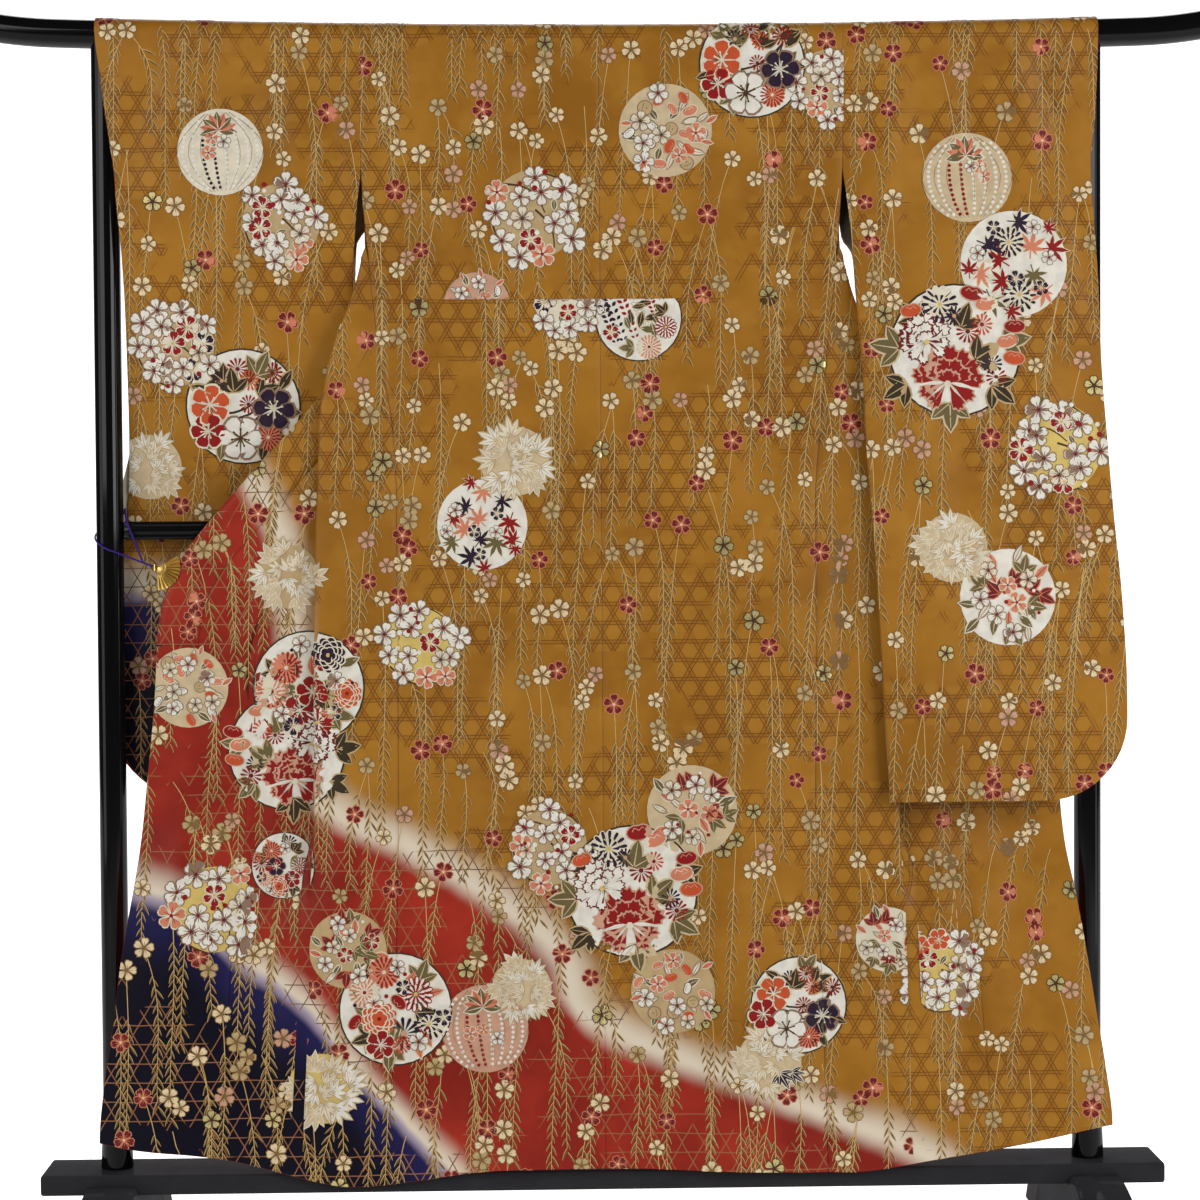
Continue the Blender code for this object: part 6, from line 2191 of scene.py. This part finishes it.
def strand_paths(group, chance):
    """Willow strands of a group: lists of places from each strand's top down."""
    left, right, low, high = FIELDS[group]
    paths = []
    across = left + 0.012
    while across < right:
        height = high + chance.uniform(0.0, 0.12)
        while height > low:
            length = chance.uniform(0.12, 0.33)
            lean = chance.choice((0.0, 0.0, -0.4, 0.4, -0.65, 0.65))
            way = chance.choice((-1, 1))
            for branch in range(1 if chance.random() < 0.72 else 2):
                bend = (lean if branch == 0 else -way * 0.5) * chance.uniform(0.6, 1.1)
                drop = length * (0.86 if branch else 1.0)
                path = []
                for step in range(15):
                    share = step / 14
                    swing = bend * 0.055 * (1 - math.exp(-3.2 * share))
                    path.append((across + swing + 0.003 * math.sin(share * 5 + branch),
                                 height - drop * share))
                paths.append(path)
            height -= length + chance.uniform(-0.02, 0.055)
        across += STRAND_GAP * chance.uniform(0.72, 1.25)
    return paths


def blossom_spots(group, paths, chance):
    """Places of loose blossoms: at strands' tops and along them, some in twos and threes."""
    found = []

    def clear(place, apart):
        for ball in BALLS[group]:
            if math.dist(place, ball[:2]) < ball[2] * 0.95:
                return False
        return all(math.dist(place, other) > apart for other in found)

    for path in paths:
        for index in (0, chance.choice((5, 6, 7)), chance.choice((10, 11, 13))):
            if chance.random() > (0.85 if index == 0 else 0.36):
                continue
            place = (path[index][0] + chance.uniform(-0.002, 0.002), path[index][1])
            if not clear(place, 0.024):
                continue
            found.append(place)
            if chance.random() < 0.3:
                for turn in ([chance.uniform(0, 6.28)] if chance.random() < 0.6 else
                             [chance.uniform(0, 2.0), chance.uniform(3.0, 5.0)]):
                    beside = (place[0] + 0.021 * math.cos(turn), place[1] + 0.021 * math.sin(turn))
                    if clear(beside, 0.0175):
                        found.append(beside)
    return found


def willow_and_blossoms(group, chance, number, tools):
    """The strands, their leaves and the loose blossoms of one group."""
    drawn = Motif()
    paths = strand_paths(group, chance)
    edges, points = [], []
    for path in paths:
        drawn.line(path, 0.0011, STRAND, 1.0, 0.0007)
        edges += [(len(points) + step, len(points) + step + 1) for step in range(len(path) - 1)]
        points += [(across, height, 0.0) for across, height in path]
    strands = bpy.data.meshes.new("strands")
    strands.from_pydata(points, edges, [])
    drawn.parts.append(grown(strands, *tools["leaves"], {
        "Leaf": tools["leaf"], "Spacing": LEAF_GAP, "Sway": math.radians(7.0), "Bare Share": 0.18,
        "Smallest": 0.012, "Largest": 0.019, "Seed": number, "Material": tools["material"]}))
    places = blossom_spots(group, paths, chance)
    names = sorted(LOOSE)
    kinds = chance.choices(range(len(names)), [LOOSE[name][1] for name in names], k=len(places))
    spots_mesh = bpy.data.meshes.new("blossom_points")
    spots_mesh.from_pydata([(across, height, 0.0) for across, height in places], [], [])
    store(spots_mesh, "kind", "INT", kinds)
    store(spots_mesh, "turn", "FLOAT", [chance.uniform(0, 6.28) for _ in places])
    store(spots_mesh, "reach", "FLOAT", [LOOSE[names[kind]][2] * chance.uniform(0.8, 1.08)
                                         for kind in kinds])
    places, layers, tints, faces = grown(spots_mesh, *tools["blossoms"], {
        "Blossoms": tools["kinds"], "Size": 1.0, "Material": tools["material"]})
    drawn.parts.append((places, layers + BLOSSOM_LAYER, tints, faces))
    return drawn


def print_silk():
    """Ink, embroidery and gold thread: each motif's own tint, and metal where its alpha is above 1."""
    material, sockets, wire = new_material("motif_print", 0.5, Specular_IOR_Level=0.2)
    tint = wire.node("ShaderNodeAttribute", {"attribute_type": "GEOMETRY", "attribute_name": "tint"}, {})
    gilt = Wire(wire.tree, tint.socket.node.outputs["Alpha"]).rises(1.4, 1.6)
    spot = wire.on_piece()
    shade = wire.noise(spot, 70.0, 2.0)
    colour = wire.blend(shade.rises(0.35, 0.7) * 0.14, tint, (0.1, 0.05, 0.02, 1.0))
    feed(wire, sockets, Base_Color=colour, Metallic=gilt * 0.75, Roughness=0.5 - gilt * 0.18,
         Normal=wire.noise(spot, 1300.0, 1.0).bump(0.3, 0.0003))
    return material


# Laying the motifs on the cloth

def pattern_surface(panel, first, last, pattern, keep):
    """A stretch of a cloth piece for printing: its triangles in the pattern's plane and in space."""
    row, column = [grid.ravel() for grid in np.mgrid[0:panel.points.shape[0] - 1, first:last]]
    kept = keep[row, column]
    width = last - first + 1
    corner = row[kept] * width + column[kept] - first
    faces = np.vstack((np.stack((corner, corner + width, corner + width + 1), 1),
                       np.stack((corner, corner + width + 1, corner + 1), 1)))
    places = panel.points[:, first:last + 1]
    normals = panel.normals()[:, first:last + 1]
    return pattern.reshape(-1, 2), places.reshape(-1, 3), normals.reshape(-1, 3), faces


def lay_on(surface, motifs, lift):
    """Carry flat motifs to a stretch of cloth; what reaches past its edges is drawn in to them."""
    flat, places, normals, faces = surface
    dots, layers, tints, triangles = motifs
    near = (dots >= flat.min(0) - 0.02).all(1) & (dots <= flat.max(0) + 0.02).all(1)
    triangles = triangles[near[triangles].all(1)]
    if not len(triangles):
        return None
    tree = BVHTree.FromPolygons(np.hstack((flat, np.zeros((len(flat), 1)))).tolist(), faces.tolist(),
                                all_triangles=True)
    down = Vector((0.0, 0.0, -1.0))
    inside = np.zeros(len(dots), bool)
    face_of = np.zeros(len(dots), int)
    where = np.zeros((len(dots), 2))
    for index in np.unique(triangles):
        across, height = dots[index]
        place, _, face, _ = tree.ray_cast(Vector((across, height, 1.0)), down)
        inside[index] = face is not None
        if face is None:
            place, _, face, _ = tree.find_nearest(Vector((across, height, 0.0)))
        face_of[index], where[index] = face, place.xy
    triangles = triangles[inside[triangles].any(1)]
    used = np.unique(triangles)
    renumbered = np.zeros(len(dots), int)
    renumbered[used] = np.arange(len(used))
    corner = faces[face_of[used]]
    start = flat[corner[:, 0]]
    along_one, along_two = flat[corner[:, 1]] - start, flat[corner[:, 2]] - start
    offset = where[used] - start
    cross = along_one[:, 0] * along_two[:, 1] - along_one[:, 1] * along_two[:, 0]
    cross = np.where(np.abs(cross) < 1e-12, 1e-12, cross)
    one = (offset[:, 0] * along_two[:, 1] - offset[:, 1] * along_two[:, 0]) / cross
    two = (along_one[:, 0] * offset[:, 1] - along_one[:, 1] * offset[:, 0]) / cross
    shares = np.clip(np.stack((1 - one - two, one, two), 1), 0.0, 1.0)
    shares /= shares.sum(1)[:, None]
    spot = (places[corner] * shares[:, :, None]).sum(1)
    normal = (normals[corner] * shares[:, :, None]).sum(1)
    normal /= np.linalg.norm(normal, axis=1)[:, None] + 1e-9
    raised = spot + normal * (lift + CLOTH_GAP + layers[used] * LAYER)[:, None]
    return raised, normal, tints[used], renumbered[triangles]


def print_piece(panel, motifs, material):
    """All motifs on one cloth piece, as one thin piece over it."""
    laid = [lay_on(pattern_surface(panel, *stretch), motifs, panel.wall / 2) for stretch in panel.printed()]
    laid = [part for part in laid if part]
    starts = np.cumsum([0] + [len(part[0]) for part in laid[:-1]])
    places, normals, tints = [np.vstack([part[index] for part in laid]) for index in range(3)]
    faces = np.vstack([part[3] + start for part, start in zip(laid, starts)])
    start = places[faces[:, 0]]
    facing = np.cross(places[faces[:, 1]] - start, places[faces[:, 2]] - start)
    solid = np.linalg.norm(facing, axis=1) > SLIVER
    faces, facing = faces[solid], facing[solid]
    turned = (facing * normals[faces[:, 0]]).sum(1) < 0
    faces[turned] = faces[turned][:, ::-1]
    name = f"motifs_{panel.name}"
    mesh = bpy.data.meshes.new(name)
    mesh.from_pydata(places.tolist(), [], faces.tolist())
    store(mesh, "tint", "FLOAT_COLOR", tints)
    mesh.materials.append(material)
    mesh.shade_smooth()
    add_piece(name, mesh, "gold_silk")


def motif_groups(material):
    """Every group's motifs: balls over blossoms over strands."""
    kinds = bpy.data.collections.new("loose blossoms")
    for name in sorted(LOOSE):
        kinds.objects.link(motif_object(f"loose_{name}", LOOSE[name][0]))
    tools = {"leaves": leaf_tree(), "blossoms": blossom_tree(), "kinds": kinds,
             "leaf": motif_object("willow_leaf", willow_leaf()), "material": material}
    groups = {}
    for number, group in enumerate(FIELDS):
        chance = random.Random(FIRST_SEED + number)
        drawn = willow_and_blossoms(group, chance, number, tools)
        drawn.parts += ball_motifs(group, chance).parts
        groups[group] = drawn.joined()
    return groups


def group_of(name):
    """The group of motifs that a cloth piece is printed with."""
    if not name.startswith("sleeve"):
        return "body"
    _, side, layer = name.split("_")
    return f"sleeve_{side}" if layer == "near" else f"far_{side}"


# Camera, floor and light

CAMERA_PLACE = (-0.09, -3.55, 0.98)
CAMERA_AIM = (-0.0024, -0.03, 0.871)
CAMERA_LENS = 79.45
CAMERA_ROLL = -0.35
SENSOR_WIDTH = 36.0
FLOOR_START = -7.0
FLOOR_HALF_WIDTH = 6.0
FLOOR_GAP = 0.0005
WALL_START = 6.0            # the floor bends up into the wall from here
WALL_BEND = 0.8
WALL_TOP = 5.0
GLOW_RISES = (-0.6, 0.4)    # the floor's own light grows between these depths


def aimed(place, aim):
    return (Vector(aim) - Vector(place)).to_track_quat("-Z", "Y").to_euler()


def add_camera():
    lens = bpy.data.cameras.new("camera")
    lens.lens = CAMERA_LENS
    lens.sensor_width = SENSOR_WIDTH
    camera = link("camera", lens)
    camera.location = CAMERA_PLACE
    camera.rotation_euler = aimed(CAMERA_PLACE, CAMERA_AIM)
    camera.rotation_euler.rotate_axis("Z", math.radians(CAMERA_ROLL))
    bpy.context.scene.camera = camera


def add_floor():
    """A pale floor that sweeps up into a lit pale wall behind; from just before the stand backwards both
    glow with painted light.
    """
    material, sockets, wire = new_material("studio_floor", 0.8, Emission_Strength=1.0)
    spot = wire.on_piece()
    # painted light: the floor glows from here backwards, lifting the shade under the stand
    glow = wire.blend(spot.split()[1].rises(*GLOW_RISES), (0.0, 0.0, 0.0, 1.0), (0.9, 0.9, 0.9, 1.0))
    pale = wire.blend(wire.noise(spot, 2.0), (0.86, 0.86, 0.86, 1.0), (0.9, 0.9, 0.9, 1.0))
    feed(wire, sockets, Base_Color=pale, Emission_Color=glow)
    section = [(FLOOR_START, 0.0), (WALL_START, 0.0)]
    for step in range(1, 17):
        turn = math.pi / 2 * step / 16
        section.append((WALL_START + WALL_BEND * math.sin(turn), WALL_BEND * (1 - math.cos(turn))))
    section.append((WALL_START + WALL_BEND, WALL_TOP))
    points = [[(across, depth, height) for depth, height in section]
              for across in (-FLOOR_HALF_WIDTH, FLOOR_HALF_WIDTH)]
    floor = link("studio_floor", grid_mesh("studio_floor", points, material, False, False))
    floor.location.z = -FLOOR_GAP


LIGHTS = (
    # name, place, aim, width, height, watts
    ("key_left", (-2.3, -2.8, 2.1), (0.0, 0.0, 0.8), 2.2, 2.2, 47.0),
    ("key_right", (2.7, -2.5, 1.9), (0.2, 0.0, 0.8), 2.0, 2.0, 70.0),
    ("rake_left", (-2.1, -0.7, 1.2), (-0.2, 0.0, 0.9), 0.8, 1.8, 7.0),
    ("strip_right", (2.3, -0.6, 1.1), (0.5, 0.0, 0.9), 0.3, 2.0, 5.0),
    ("floor_wash", (0.0, 1.9, 3.2), (0.0, 1.2, 0.0), 2.8, 1.2, 60.0),
)


def add_lights():
    for name, place, aim, width, height, watts in LIGHTS:
        lamp = bpy.data.lights.new(name, "AREA")
        lamp.shape = "RECTANGLE"
        lamp.size = width
        lamp.size_y = height
        lamp.energy = watts
        light = link(name, lamp)
        light.location = place
        light.rotation_euler = aimed(place, aim)
    world = bpy.data.worlds.new("studio")
    world.use_nodes = True
    background = world.node_tree.nodes["Background"].inputs
    background["Color"].default_value = (1.0, 1.0, 1.0, 1.0)
    background["Strength"].default_value = 0.06
    bpy.context.scene.world = world
    bpy.context.scene.view_settings.view_transform = "Standard"


silk = dyed_silk("dyed_silk")
sleeve_silk = dyed_silk("dyed_sleeve_silk", sleeve=True)
cloth_made = cloth_pieces(silk, sleeve_silk, lining_silk(), red_piping())
stand(lacquer())
fan_clip(gilding())
clip_cord(braided_silk())
inks = print_silk()
groups = motif_groups(inks)
for name, (panel, _) in cloth_made.items():
    print_piece(panel, groups[group_of(name)], inks)
add_floor()
add_camera()
add_lights()
